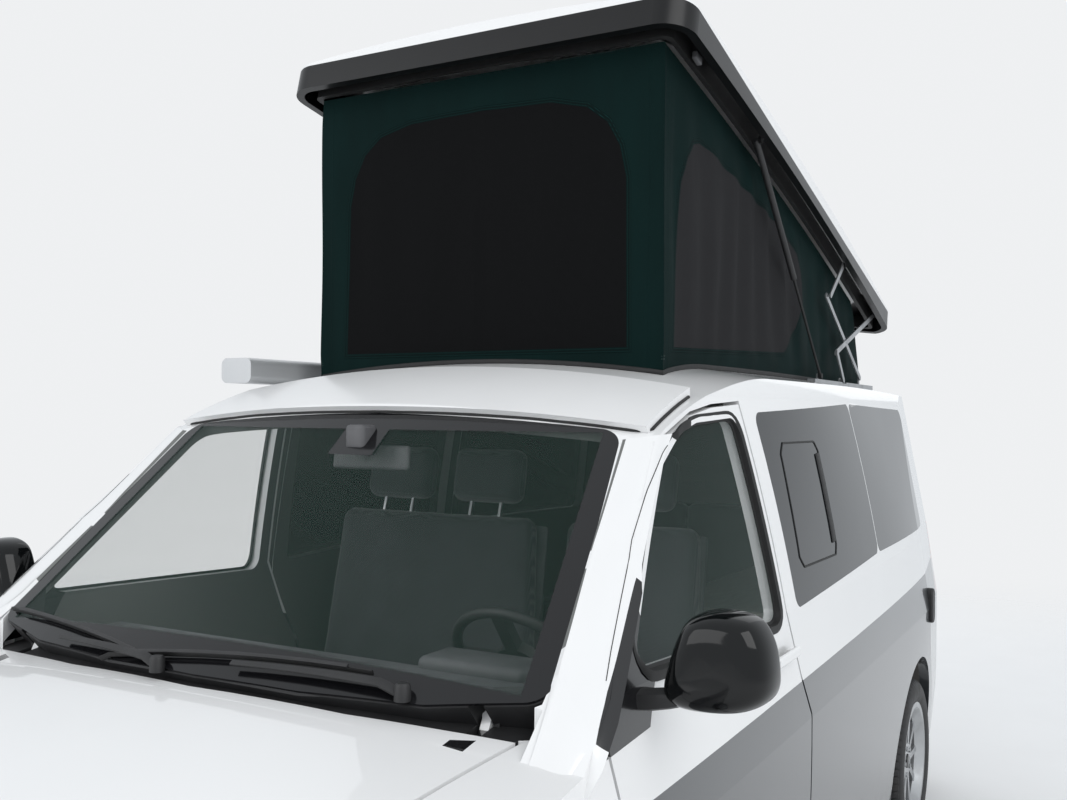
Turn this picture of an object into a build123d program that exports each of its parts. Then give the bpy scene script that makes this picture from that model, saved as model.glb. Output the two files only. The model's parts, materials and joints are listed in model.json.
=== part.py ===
from build123d import *
import math
import os

# Camper van with a rear-hinged elevating roof. Millimetres, +X forward, +Y left, +Z up.
# The origin is on the ground at the middle of the length.

# Overall body
NOSE_X = 2446
TAIL_X = -2446
SILL_Z = 270
WAIST_Z = 940
BELT_Z = 1250
CANT_Z = 1815
EDGE_Z = 1900
LOFT_TOP_Z = 1990
CANT_TO_EDGE = 105
SIDE_CROWN = 8
GREENHOUSE_CROWN = 7
EDGE_BULGE = (0.24, 0.70)
HALF_SPACE = 1300
MARGIN = 150
WALL = 45
SHUT_GAP = 9
SEAM = 3
SEAT = 0.3

# Body stations: x, half width at sill, waist, belt and cant rail
STATIONS = [
    (2450, 790, 835, 800, 560),
    (1540, 880, 936, 896, 645),
    (900, 897, 948, 920, 745),
    (300, 902, 952, 932, 818),
    (-700, 905, 952, 940, 828),
    (-1500, 900, 948, 917, 795),
    (-2450, 830, 862, 825, 715),
]

# Roof crown, bonnet and windscreen
CROWN_RADIUS = 4500
ROOF_Z = 1945
ROOF_FRONT = (975, 1768)
ROOF_MID = (700, 1869)
ROOF_LEVEL_X = 200
ROOF_REAR_MID = (-1200, 1946)
ROOF_REAR_Z = 1915
ROOF_NOSE_FALL = 0.55
BONNET_CROWN_RADIUS = 8000
BONNET_ARC = ((2600, 925), (2080, 1085), (1500, 1206))
COWL_REAR = (600, 1330)
SCREEN_LOW = (1620, 1190)
SCREEN_HIGH = (970, 1765)
SCREEN_RADIUS = 5900
SCREEN_GLASS = 6

# Nose and tail outlines in side view: x, z
NOSE_PLAN_RADIUS = 2400
NOSE_PROFILE = [(2385, 150), (2446, 400), (2440, 640), (2330, 985), (2200, 1300), (2200, 2100)]
TAIL_CORNER = 110
TAIL_BOW = 22
TAIL_FLARE = 260
# Tail sections: x of the skin, z, half width
TAIL_SECTIONS = [
    (-2385, 150, 850), (-2440, 330, 862), (-2440, 560, 872), (-2400, 930, 880),
    (-2355, 1250, 840), (-2245, 1850, 745), (-2222, 2010, 720),
]

# Running gear
FRONT_AXLE_X = 1535
REAR_AXLE_X = -1465
WHEEL_Y = 814
TYRE_RADIUS = 338
TYRE_WIDTH = 235
RIM_RADIUS = 229
ARCH_RADIUS = 430
ARCH_INNER_Y = 480
ARCH_REAR_INNER_Y = 640
KINGPIN_Y = 735
KINGPIN_RADIUS = 14
PIN_GAP = 0.1

# Shut lines in side view: x, z
DOOR_OUTLINE = [
    (1475, 1181), (1447, 1075), (1425, 900), (1408, 811), (1280, 756), (1160, 653), (1085, 530),
    (1050, 345), (235, 345), (235, 705), (265, 949), (342, 1066), (436, 1250), (470, 1796),
    (629, 1786), (750, 1766), (906, 1711), (1000, 1645), (1280, 1425),
]
DOOR_GLASS = [(1345, 1265), (477, 1231), (507, 1762), (732, 1748), (823, 1726), (950, 1655)]
DOOR_INNER_EDGE = [(820, 200), (820, 1215), (722, 1700), (722, 1950)]
MID_GLASS = [(337, 1246), (383, 1775), (-645, 1812), (-683, 1291)]
REAR_GLASS = [(-689, 1291), (-652, 1812), (-1790, 1800), (-1850, 1286)]
SLIDER_OUTLINE = [
    (222, 345), (222, 705), (252, 949), (329, 1066), (405, 1200), (430, 1850), (-655, 1866), (-697, 1288),
    (-705, 900), (-705, 345),
]
# Metal between the right side's two windows, where the sliding door ends
DOOR_POST = [(-600, 1900), (-650, 1200), (-748, 1200), (-698, 1900)]
TAILGATE_OUTLINE = [
    (700, 560), (735, 1000), (715, 1300), (632, 1860), (-632, 1860), (-715, 1300), (-735, 1000), (-700, 560),
]
TAILGATE_INNER_EDGE = [(-2385, 400), (-2350, 930), (-2300, 1250), (-2192, 1868), (-2180, 1990)]
TAIL_GLASS = [(640, 1270), (575, 1775), (-575, 1775), (-640, 1270)]
TAIL_GLASS_RADIUS = 50
BONNET_OUTLINE = [
    (2480, 560), (2345, 570), (1526, 748), (1552, 600), (1583, 400), (1604, 0), (1583, -400), (1552, -600),
    (1526, -748), (2345, -570), (2480, -560),
]
BONNET_LOW_Z = 930
NOSE_BREAK_Z = 690
GRILLE_HALF = 440
LAMP_OUTLINE = [
    (GRILLE_HALF, NOSE_BREAK_Z), (GRILLE_HALF, BONNET_LOW_Z), (760, BONNET_LOW_Z), (HALF_SPACE, 935),
    (HALF_SPACE, 770), (760, NOSE_BREAK_Z),
]
GRILLE_OUTLINE = [
    (-GRILLE_HALF, NOSE_BREAK_Z), (-GRILLE_HALF, BONNET_LOW_Z), (GRILLE_HALF, BONNET_LOW_Z),
    (GRILLE_HALF, NOSE_BREAK_Z),
]
TAIL_LAMP_OUTLINE = [(752, 930), (HALF_SPACE, 930), (HALF_SPACE, 1270), (740, 1270)]
WING_OUTLINE = [
    (2700, 200), (2700, 1400), (1560, 1400), (1497, 1215), (1472, 1190), (1400, 1100), (1150, 700),
    (1060, 530), (1030, 345), (1030, 200),
]
SIDE_GLASS_RADIUS = 35
ROOF_HATCH = [(430, 500), (-1780, 500), (-1780, -500), (430, -500)]
ROOF_HATCH_RADIUS = 90
ROOF_PANEL_HALF = 660
ROOF_PANEL_LOW = 1700
COWL_OUTLINE = [
    (1400, 784), (1492, 784), (1517, 748), (1543, 600), (1574, 400), (1595, 0), (1574, -400), (1543, -600),
    (1517, -748), (1492, -784), (1400, -784),
]
COWL_DEPTH = (5, 30)
COWL_LEDGE = 40
# Windscreen outline on its own slope: run up from the top edge, then y
SCREEN_OUTLINE = [
    (-735, 800), (-800, 560), (-828, 280), (-835, 0), (-828, -280), (-800, -560), (-735, -800),
    (-10, -692), (0, 0), (-10, 692),
]
SCREEN_CORNER = 60
SCREEN_REACH = 300
GLASS = 5
DOOR_GLASS_INSET = 14

# Reaches of the volumes that divide the skin
SIDE_CUT_Y = (400, HALF_SPACE)
TAIL_CUT_X = (TAIL_X - MARGIN, -2000)
TAIL_LAMP_CUT_X = -2200
ROOF_CUT_Z = (1600, 2100)
BONNET_CUT_Z = 1500
COWL_CUT_Z = (1000, 1400)
NOSE_CUT_X = (2000, 2600)
LAMP_CUT_X = 2160
NOSE_SKIN = (2050, 1010)
FRONT_END_X = 1900
ROOF_PANEL_X = (-2190, 1000)
FRONT_SPACE = ((610, -HALF_SPACE, 600), (2750, HALF_SPACE, 2500))
FLOOR_DROP = 150
HEAD_GAP_SIDE = 20
HEAD_GAP_LOW = 1800
WING_TOE = ((1500, -790, 1100), (1700, 790, 1300))

# Nose openings: half width and lower edge of each slot in the grille, bumper intakes as y and z
GRILLE_SLOT_HALF = 388
GRILLE_SLOT_HEIGHT = 27
GRILLE_SLOTS_Z = (728, 774, 820, 866)
CENTRE_INTAKE = [(-335, 452), (335, 452), (300, 332), (-300, 332)]
SIDE_INTAKE = [(430, 450), (720, 470), (690, 345), (405, 332)]
INTAKE_RADIUS = 22
INSERT_DEPTH = (22, 38)
INSERT_SLOT_HEIGHT = 11
INSERT_SLOTS_Z = (352, 376, 400, 424)
FOG_LAMP = (585, 398)
FOG_LAMP_RADIUS = 44
FOG_LAMP_DEPTH = 8

# Handles: reach from the body, height, and the span of each along the van
HANDLE_Y = (925, 947, 965)
HANDLE_Z = (1138, 1164)
HANDLE_FOOT = 26
HANDLE_ROUND = 8
DOOR_HANDLE_X = (420, 600)
SLIDER_HANDLE_X = (140, 320)
TAILGATE_HANDLE = ((-2392, -130, 1168), (-2350, 130, 1192))
# Slot of the sliding door's middle rail
SLIDE_RAIL = ((-1950, -HALF_SPACE, 1118), (-860, -917, 1142))

# Door mirrors: outline seen from behind, y and z, how it closes in forwards, and the arm that carries them
MIRROR_OUTLINE = [
    (978, 1240), (988, 1385), (1035, 1406), (1120, 1396), (1160, 1340), (1165, 1262), (1130, 1216), (1020, 1206),
]
MIRROR_MIDDLE = (1072, 1306)
MIRROR_CORNER = 38
# Mirror sections: x, share of the outline
MIRROR_SECTIONS = [(1268, 1), (1318, 0.97), (1350, 0.84), (1368, 0.62)]
MIRROR_ARM = ((1292, 890, 1212), (1334, 990, 1250))
# Shore-power inlet and registration plate pads
INLET = (-1710, 952)
INLET_SIZE = (62, 150)
INLET_Y = (880, 958)
INLET_ROUND = 8
PLATE_SIZE = (520, 112)
FRONT_PLATE = (NOSE_X + 2, 556)
REAR_PLATE = (-2397, 1055)
PLATE_PAD = 40

# Hinges: axis of the door pin, of the bonnet pin and of the tailgate pin
DOOR_HINGE = (1385, 925)
DOOR_PIN_RADIUS = 4.5
DOOR_PIN_Z = (765, 850)
# Bonnet hinge: axis, curved arm that reaches back to it under the cowl, and the lugs either side
BONNET_HINGE = (1470, 1188)
BONNET_PIN_RADIUS = 6
BONNET_EYE_RADIUS = 11
BONNET_ARM_Y = (650, 670)
BONNET_ARM = [
    (1461, 1182), (1480, 1193), (1500, 1156), (1560, 1150), (1610, 1150), (1610, 1118), (1500, 1112),
    (1472, 1150),
]
BONNET_ARM_ROOM = ((1450, 645), (1600, 675))
BONNET_LUGS_Y = ((633, 645), (675, 687))
BONNET_LUG_Z = 1160
TAILGATE_HINGE = (-2228, 1850)
TAILGATE_HEAD_Z = 1875
TAILGATE_PIN_RADIUS = 6
TAILGATE_HINGE_Y = 430
HINGE_LUG_WIDTH = 40
HINGE_LUG_RADIUS = 11
HINGE_NOTCH_DEPTH = 60
HINGE_LUG_TUCK = 7
HINGE_PIN_OVERHANG = 20
BORE_OVERRUN = 2

# Wheels: rim and tyre sections as radius, offset from the wheel's middle plane
RIM_SECTION = [
    (243, 108), (229, 96), (205, 70), (205, -70), (229, -96), (243, -108), (222, -108), (196, -72), (196, 72),
    (222, 108),
]
TYRE_SECTION_WIDTHS = (91, 117, 108, 84)
TYRE_BULGE_RADIUS = 285
TREAD_SHOULDER_RADIUS = 326
SPOKE_COUNT = 10
SPOKE_WIDTH = 26
SPOKE_LENGTH = 150
SPOKE_MIDDLE = 137
HUB_RADIUS = 72
HUB_FACE = (52, 78)
DISC_RADIUS = 160
DISC_FACE = (-14, 6)
SPINDLE_RADIUS = 30
SPINDLE_TIP_Y = 884

# Chassis
FLOOR_Z = (440, 480)
FLOOR_X = (-2310, 1160)
RAIL_Y = (400, 474)
RAIL_Z = (340, 440)
RAIL_X = (-2370, 2330)
HOUSE_WALL = 8
HOUSE_REACH = 600
HOUSE_CLEARANCE = 3
BULKHEAD = [(1120, 470), (1160, 470), (1445, 1090), (1445, 1128), (1405, 1128), (1405, 1090)]
KNUCKLE_Z = (208, 468)
KNUCKLE_HALF = (28, 20)
KNUCKLE_CORNER = 12
PIN_REACH = 26
STRUT_Y = 610
STRUT_RADIUS = 26
ARM_HALF = 32
ARM_TIP_HALF = 22
ARM_EYE_RADIUS = 26
ARM_LAP = 10
SUBFRAME_INNER_Y = 480
SUBFRAME_X = (1455, 1615)
SUBFRAME_Z = (250, 340)
REAR_BEAM_X = -1240
REAR_BEAM_Z = 290
SPRING_X = -1400
SPRING_RADIUS = 52
REAR_BEAM_RADIUS = 42
REAR_ARM_Y = (500, 560)
REAR_ARM_TOP = FLOOR_Z[0] - SEAT
REAR_ARM = [
    (-910, 395), (-910, REAR_ARM_TOP), (-1010, REAR_ARM_TOP), (-1525, 380), (-1525, 290), (REAR_BEAM_X, 262),
]
SPRING_FOOT_Z = 360
ENGINE = ((1650, -330, 420), (2090, 260, 930))
ENGINE_CORNER = 40
ENGINE_MOUNT_X = (1800, 1900)
ENGINE_MOUNT_Y = 200
ENGINE_MOUNT_HEIGHT = 40
EXHAUST_Y = -300
EXHAUST_Z = 385
EXHAUST_RADIUS = 27
EXHAUST_X = (-2330, 1640)
EXHAUST_HANGERS_X = (-2080, -1900, -200, 900)
EXHAUST_HANGER = (30, 6)
MUFFLER = ((-2180, -370, 300), (-1790, -120, 424))

# Cab and living space
DASH_HALF = 785
DASH_CORNER = 20
DASH_PROFILE = [
    (1398, 1080), (1196, 640), (1150, 645), (1095, 700), (1040, 900), (1010, 1060), (1040, 1140),
    (1130, 1168), (1398, 1168),
]
STEERING_Y = 400
STEERING_CENTRE = (905, 1150)
STEERING_SLANT = 38
STEERING_RADIUS = 190
STEERING_RIM = 14
STEERING_HUB_RADIUS = 62
STEERING_SPOKES = ((100, 0), (150, 34))
STEERING_SHAFT_RADIUS = 12
STEERING_SHAFT_LENGTH = 56
STEERING_BORE = (20, 60)
COLUMN_RADIUS = 28
COLUMN_ALONG = (40, 300)
# Front seats: outlines of cushion, back and head restraint, x and z
SEAT_CUSHION = [(390, 760), (390, 860), (870, 900), (890, 860), (870, 780)]
SEAT_BACK = [(260, 1440), (350, 1440), (450, 900), (420, 800), (340, 800)]
SEAT_HEAD = [(215, 1660), (300, 1660), (325, 1490), (245, 1470)]
SEAT_CORNER = 25
SEAT_BACK_INSET = 10
HEAD_HALF = 130
HEAD_POST_Y = 55
HEAD_POST_RADIUS = 7
HEAD_POST = ((310, 1420), (280, 1520))
PEDESTAL = (430, 810, 80, 790)
# Front seats: right edge, left edge and the middle of each head restraint
FRONT_SEATS = [(185, 675, (430,)), (-690, 150, (-427, -86))]
BENCH_Y = (-800, 330)
BENCH_OUTLINE = [
    (-1870, FLOOR_Z[1] + SEAT), (-1870, 800), (-1930, 1330), (-1800, 1330), (-1740, 890), (-1180, 890),
    (-1180, FLOOR_Z[1] + SEAT),
]
BENCH_CORNER = 15
KITCHEN = ((-1880, 430, 480), (120, 835, 1185))
KITCHEN_WALL = 18

# Elevating roof at rest, raised: front and rear of the rim line, x and z, and the rear once closed
RIM_FRONT = (585, 2809)
RIM_REAR = (-2098, 2169)
RIM_REAR_CLOSED = (-2101.8, 1892)
RIM_HALF = 695
RIM_ARCH = 42
RIM_CLEARANCE = 6
SHELL_DEPTH = 82
SHELL_CROWN = 34
SHELL_WALL = 26
SHELL_CORNER = 95
LINER_INSET = (67, 82.7)
SHELL_REACH = (-100, 300)
SHELL_FALL = -400
STRUT_EYE_GAP = 12
# Scissor hinge pins at rest: x, z
BAR_A_BASE = (-1687, 1942)
BAR_A_TOP = (-1091, 2252)
RIVET = (-1410.2, 2086)
BAR_B_LOW = (-1225, 2030)
BAR_B_TOP = (-1952.8, 2249.9)
LINK_B_BASE = (-1335.2, 1920)
LINK_A_ROOF = (-1301.5, 2401.4)
STRUT_ROOF = (-163, 2665)
STRUT_BASE = (-985, 1926)
STRUT_TUBE_LENGTH = 600
STRUT_OVERLAP = 60
STRUT_RADII = (11, 5)
STRUT_BORE_START = 40
BAR_HALF = 11
BAR_THICK = 5
HINGE_PIN_RADIUS = 5
BOSS_RADIUS = 14
# Layers of the hinge outwards from the van's middle: y of each inner face
LAYER_LUG = 634
LAYER_A = 640
LAYER_B = 646
LAYER_LINK_B = 652
LAYER_LINK_A = 658
STRUT_LAYER = 648
STRUT_EYE_HALF = 7
ROOF_PIN_END = 674
BASE_RAIL_Y = (LAYER_LUG, 664)
BASE_RAIL_TOP = 1911
BASE_RAIL_DEPTH = 60
BASE_RAIL_X = (-1850, -850)
BASE_LUG_HALF = 9
BASE_LUG_TUCK = 2
LINK_ROOM = (14, 60)

# Fabric of the raised roof: outline of its side, x and z, and its half width
FABRIC_HALF = 612
FABRIC_SIDE = [(505, 1800), (505, 3100), (-1700, 3100), (-1700, 2260), (-1729, 2130), (-1900, 1800)]
FABRIC_TUCK = -0.3
FABRIC_WALL = 6
FABRIC_REACH = -3000

# Front fairing and awning case
CAP_REAR_X = 668
CAP_HALF = 748
CAP_RISE = 22
CAP_REACH = (1100, 1600, 2100)
AWNING = ((-1900, -842, 1858), (700, -715, 1938))
AWNING_ROUND = 22


def box_between(low, high):
    with BuildPart() as block:
        with Locations(tuple((low[i] + high[i]) / 2 for i in range(3))):
            Box(*(high[i] - low[i] for i in range(3)))
    return block.part


def side_region(outline, y_from, y_to, grow=0, radius=0):
    with BuildPart() as region:
        with BuildSketch(Plane.XZ.offset(-y_from)):
            with BuildLine():
                Polyline(*outline, close=True)
            make_face()
            if radius:
                fillet(vertices(), radius)
            if grow:
                offset(amount=grow, kind=Kind.INTERSECTION)
        extrude(amount=y_from - y_to)
    return region.part


def plan_region(outline, z_from, z_to, grow=0, radius=0):
    with BuildPart() as region:
        with BuildSketch(Plane.XY.offset(z_from)):
            with BuildLine():
                Polyline(*outline, close=True)
            make_face()
            if radius:
                fillet(vertices(), radius)
            if grow:
                offset(amount=grow, kind=Kind.INTERSECTION)
        extrude(amount=z_to - z_from)
    return region.part


def rear_region(outline, x_from, x_to, grow=0, radius=0):
    with BuildPart() as region:
        with BuildSketch(Plane.YZ.offset(x_from)):
            with BuildLine():
                Polyline(*outline, close=True)
            make_face()
            if radius:
                fillet(vertices(), radius)
            if grow:
                offset(amount=grow, kind=Kind.INTERSECTION)
        extrude(amount=x_to - x_from)
    return region.part


def drum(centre_x, centre_z, radius, y_from, y_to):
    with BuildPart() as cylinder:
        with BuildSketch(Plane.XZ.offset(-y_from)):
            with Locations((centre_x, centre_z)):
                Circle(radius)
        extrude(amount=y_from - y_to)
    return cylinder.part


# Cross-section of the body at one station, drawn inset for the inner surface
def station_section(x, sill, waist, belt, cant, inset, drop):
    sill, waist, belt, cant = (half - inset for half in (sill, waist, belt, cant))
    low = SILL_Z - drop
    edge = cant - CANT_TO_EDGE
    with BuildSketch(Plane.YZ.offset(x)) as section:
        with BuildLine():
            Line((-sill, low), (sill, low))
            for s in (1, -1):
                lower_middle = (s * ((sill + waist) / 2 + SIDE_CROWN), (low + WAIST_Z) / 2)
                upper_middle = (s * ((belt + cant) / 2 + GREENHOUSE_CROWN), (BELT_Z + CANT_Z) / 2)
                bend = (s * (cant - CANT_TO_EDGE * EDGE_BULGE[0]), CANT_Z + (EDGE_Z - CANT_Z) * EDGE_BULGE[1])
                ThreePointArc((s * sill, low), lower_middle, (s * waist, WAIST_Z))
                Line((s * waist, WAIST_Z), (s * belt, BELT_Z))
                ThreePointArc((s * belt, BELT_Z), upper_middle, (s * cant, CANT_Z))
                ThreePointArc((s * cant, CANT_Z), bend, (s * edge, EDGE_Z))
                Line((s * edge, EDGE_Z), (s * edge, LOFT_TOP_Z))
            Line((-edge, LOFT_TOP_Z), (edge, LOFT_TOP_Z))
        make_face()
    return section.sketch


# Solid under the roof line, crowned across the van
def roof_form(inset):
    low = ROOF_Z - CROWN_RADIUS
    rear = (TAIL_X - MARGIN, ROOF_REAR_Z - inset)
    level = (ROOF_LEVEL_X, ROOF_Z - inset)
    brow = (ROOF_FRONT[0], ROOF_FRONT[1] - inset)
    ahead = (NOSE_X + MARGIN, brow[1] - (NOSE_X + MARGIN - brow[0]) * ROOF_NOSE_FALL)
    with BuildPart() as form:
        with BuildSketch(Plane.XZ):
            with BuildLine():
                Line((ahead[0], low), (rear[0], low))
                Line((rear[0], low), rear)
                ThreePointArc(rear, (ROOF_REAR_MID[0], ROOF_REAR_MID[1] - inset), level)
                ThreePointArc(level, (ROOF_MID[0], ROOF_MID[1] - inset), brow)
                Line(brow, ahead)
                Line(ahead, (ahead[0], low))
            make_face()
        revolve(axis=Axis((0, 0, low), (1, 0, 0)), revolution_arc=360)
    return form.part


# Solid under the bonnet line, crowned across the van
def bonnet_form(inset):
    low = SCREEN_LOW[1] - BONNET_CROWN_RADIUS
    start, middle, end = ((x, z - inset) for x, z in BONNET_ARC)
    back = (COWL_REAR[0], COWL_REAR[1] - inset)
    with BuildPart() as form:
        with BuildSketch(Plane.XZ):
            with BuildLine():
                Line((back[0], low), (start[0], low))
                Line((start[0], low), start)
                ThreePointArc(start, middle, end)
                Line(end, back)
                Line(back, (back[0], low))
            make_face()
        revolve(axis=Axis((0, 0, low), (1, 0, 0)), revolution_arc=360)
    return form.part


# Solid behind the nose line, bowed in plan
def nose_form(inset):
    axis_x = NOSE_X - NOSE_PLAN_RADIUS
    points = [(x - inset, z) for x, z in NOSE_PROFILE]
    with BuildPart() as form:
        with BuildSketch(Plane.XZ):
            with BuildLine():
                Polyline((axis_x, points[0][1]), *points, (axis_x, points[-1][1]), close=True)
            make_face()
        revolve(axis=Axis((axis_x, 0, 0), (0, 0, 1)), revolution_arc=360)
        add(box_between((TAIL_X - MARGIN, -HALF_SPACE, 0), (axis_x + MARGIN, HALF_SPACE, points[-1][1])))
    return form.part


# Solid ahead of the tail, rounded at its rear corners and bowed in plan
def tail_form(inset):
    with BuildPart() as form:
        for x, z, half in TAIL_SECTIONS:
            skin, side = x + inset, half - inset
            corner = TAIL_CORNER - inset
            turn = corner * (1 - math.sqrt(0.5))
            with BuildSketch(Plane.XY.offset(z)):
                with BuildLine():
                    Line((0, -side - TAIL_FLARE), (0, side + TAIL_FLARE))
                    for s in (1, -1):
                        shoulder = (skin + TAIL_BOW + corner, s * side)
                        flank = (skin + TAIL_BOW, s * (side - corner))
                        Line((0, s * (side + TAIL_FLARE)), shoulder)
                        ThreePointArc(shoulder, (skin + TAIL_BOW + turn, s * (side - turn)), flank)
                    ThreePointArc((skin + TAIL_BOW, side - corner), (skin, 0), (skin + TAIL_BOW, corner - side))
                make_face()
        loft(ruled=True)
    with BuildPart() as whole:
        add(form.part)
        add(box_between((-MARGIN, -HALF_SPACE, 0), (NOSE_X + MARGIN, HALF_SPACE, LOFT_TOP_Z + MARGIN)))
    return whole.part


# The windscreen is part of a cylinder whose axis lies parallel to its slope
SCREEN_RUN = (SCREEN_HIGH[0] - SCREEN_LOW[0], SCREEN_HIGH[1] - SCREEN_LOW[1])
SCREEN_SLANT = math.hypot(*SCREEN_RUN)
SCREEN_DIR = (SCREEN_RUN[0] / SCREEN_SLANT, SCREEN_RUN[1] / SCREEN_SLANT)
SCREEN_OUT = (SCREEN_DIR[1], -SCREEN_DIR[0])


def screen_cylinder(inset):
    reach = 2 * SCREEN_SLANT
    centre_x = SCREEN_LOW[0] - SCREEN_OUT[0] * SCREEN_RADIUS
    centre_z = SCREEN_LOW[1] - SCREEN_OUT[1] * SCREEN_RADIUS
    start = (centre_x - SCREEN_DIR[0] * reach, 0, centre_z - SCREEN_DIR[1] * reach)
    with BuildPart() as form:
        with BuildSketch(Plane(origin=start, z_dir=(SCREEN_DIR[0], 0, SCREEN_DIR[1]))):
            Circle(SCREEN_RADIUS - inset)
        extrude(amount=3 * reach)
    return form.part


# One closed body surface, inset by the given wall, open below when dropped
def body_form(inset, drop=0):
    with BuildPart() as form:
        for station in STATIONS:
            add(station_section(*station, inset, drop))
        loft()
    with BuildPart() as front_space:
        add(box_between(*FRONT_SPACE))
        add(screen_cylinder(inset), mode=Mode.SUBTRACT)
        add(bonnet_form(inset), mode=Mode.SUBTRACT)
    with BuildPart() as shaped:
        add(form.part)
        add(roof_form(inset), mode=Mode.INTERSECT)
        add(front_space.part, mode=Mode.SUBTRACT)
        add(nose_form(inset), mode=Mode.INTERSECT)
        add(tail_form(inset), mode=Mode.INTERSECT)
    return shaped.part


# Upright half-space on one side of the van
def side_space(s, y_inner=0):
    low, high = sorted((s * y_inner, s * HALF_SPACE))
    return box_between((TAIL_X - MARGIN, low, 0), (NOSE_X + MARGIN, high, LOFT_TOP_Z + MARGIN))


def screen_region(outline, radius, grow=0):
    with BuildPart() as region:
        with BuildSketch(SCREEN_PLANE):
            with BuildLine():
                Polyline(*outline, close=True)
            make_face()
            fillet(vertices(), radius)
            if grow:
                offset(amount=grow, kind=Kind.INTERSECTION)
        extrude(amount=SCREEN_REACH, both=True)
    return region.part


SCREEN_PLANE = Plane(
    origin=(SCREEN_HIGH[0], 0, SCREEN_HIGH[1]),
    x_dir=(SCREEN_DIR[0], 0, SCREEN_DIR[1]),
    z_dir=(SCREEN_OUT[0], 0, SCREEN_OUT[1]),
)

def mirrored(piece):
    return mirror(piece, about=Plane.XZ)


def both_sides(piece):
    return Compound(children=[piece, mirrored(piece)])


pieces = {}


def keep(name, piece):
    pieces[name] = piece


# Body shell and the volumes that divide it
outer = body_form(0)
shell = outer - body_form(WALL, drop=FLOOR_DROP)
cabin_space = body_form(WALL + SEAT, drop=FLOOR_DROP)
glass_skin = outer - body_form(GLASS)
door_glass_skin = glass_skin.moved(Location((0, -DOOR_GLASS_INSET, 0)))

REAR_END = TAIL_CUT_X[0]
arches = [drum(x, TYRE_RADIUS, ARCH_RADIUS, -HALF_SPACE, HALF_SPACE) for x in (FRONT_AXLE_X, REAR_AXLE_X)]
screen_opening = screen_region(SCREEN_OUTLINE, SCREEN_CORNER)


def door_region(grow):
    with BuildPart() as region:
        add(side_region(DOOR_OUTLINE, *SIDE_CUT_Y, grow=grow))
        inner_edge = [(y - grow, z) for y, z in DOOR_INNER_EDGE]
        rim = [(HALF_SPACE, inner_edge[-1][1]), (HALF_SPACE, inner_edge[0][1])]
        add(rear_region(inner_edge + rim, 0, NOSE_X), mode=Mode.INTERSECT)
    return region.part


def tailgate_region(grow):
    with BuildPart() as region:
        add(rear_region(TAILGATE_OUTLINE, *TAIL_CUT_X, grow=grow))
        inner_edge = [(x + grow, z) for x, z in TAILGATE_INNER_EDGE]
        rim = [(REAR_END, inner_edge[-1][1]), (REAR_END, inner_edge[0][1])]
        add(side_region(inner_edge + rim, -HALF_SPACE, HALF_SPACE), mode=Mode.INTERSECT)
    return region.part


def bonnet_region(grow):
    with BuildPart() as region:
        add(plan_region(BONNET_OUTLINE, BONNET_LOW_Z - grow, BONNET_CUT_Z, grow=grow))
        add(bonnet_form(0), mode=Mode.INTERSECT)
    return region.part


door_window = side_region(DOOR_GLASS, *SIDE_CUT_Y, radius=SIDE_GLASS_RADIUS)
side_windows = [side_region(outline, *SIDE_CUT_Y, radius=SIDE_GLASS_RADIUS) for outline in (MID_GLASS, REAR_GLASS)]
tail_window = rear_region(TAIL_GLASS, *TAIL_CUT_X, radius=TAIL_GLASS_RADIUS)
wing_block = side_region(WING_OUTLINE, -HALF_SPACE, HALF_SPACE)
front_end = box_between((FRONT_END_X, -HALF_SPACE, 0), (NOSE_X + MARGIN, HALF_SPACE, NOSE_BREAK_Z))
rear_end = box_between(
    (REAR_END, -HALF_SPACE, 0), (TAIL_LAMP_CUT_X, HALF_SPACE, TAILGATE_OUTLINE[0][1] - SHUT_GAP),
)
tail_head = box_between(
    (REAR_END, -ROOF_PANEL_HALF, TAILGATE_HEAD_Z), (ROOF_PANEL_X[0], ROOF_PANEL_HALF, ROOF_CUT_Z[1]),
)
head_gap = box_between(
    (REAR_END, HEAD_GAP_SIDE - ROOF_PANEL_HALF, HEAD_GAP_LOW),
    (ROOF_PANEL_X[0], ROOF_PANEL_HALF - HEAD_GAP_SIDE, TAILGATE_HEAD_Z),
)
roof_block = tail_head + box_between(
    (ROOF_PANEL_X[0], -ROOF_PANEL_HALF, ROOF_PANEL_LOW), (ROOF_PANEL_X[1], ROOF_PANEL_HALF, ROOF_CUT_Z[1]),
)
cowl_block = plan_region(COWL_OUTLINE, *COWL_CUT_Z)
lamp_block = rear_region(LAMP_OUTLINE, LAMP_CUT_X, NOSE_CUT_X[1])
lamp_both = [lamp_block, mirrored(lamp_block)]
grille_block = rear_region(GRILLE_OUTLINE, *NOSE_CUT_X)
tail_lamp = rear_region(TAIL_LAMP_OUTLINE, REAR_END, TAIL_LAMP_CUT_X)
tail_lamp_both = [tail_lamp, mirrored(tail_lamp)]

plain = shell - arches[0] - arches[1] - screen_opening - tailgate_region(SHUT_GAP) - head_gap
frame = plain - bonnet_region(SHUT_GAP)
keep("roof_panel", (frame & roof_block) - plan_region(ROOF_HATCH, *ROOF_CUT_Z, radius=ROOF_HATCH_RADIUS))
sides = frame - roof_block
nose_skin = sides & box_between((NOSE_SKIN[0], -HALF_SPACE, 0), (NOSE_X + MARGIN, HALF_SPACE, NOSE_SKIN[1]))


def plate_pad(face_x, into_x, middle_z):
    x_low, x_high = sorted((face_x, into_x))
    half_width, half_height = PLATE_SIZE[0] / 2, PLATE_SIZE[1] / 2
    return box_between((x_low, -half_width, middle_z - half_height), (x_high, half_width, middle_z + half_height))


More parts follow.
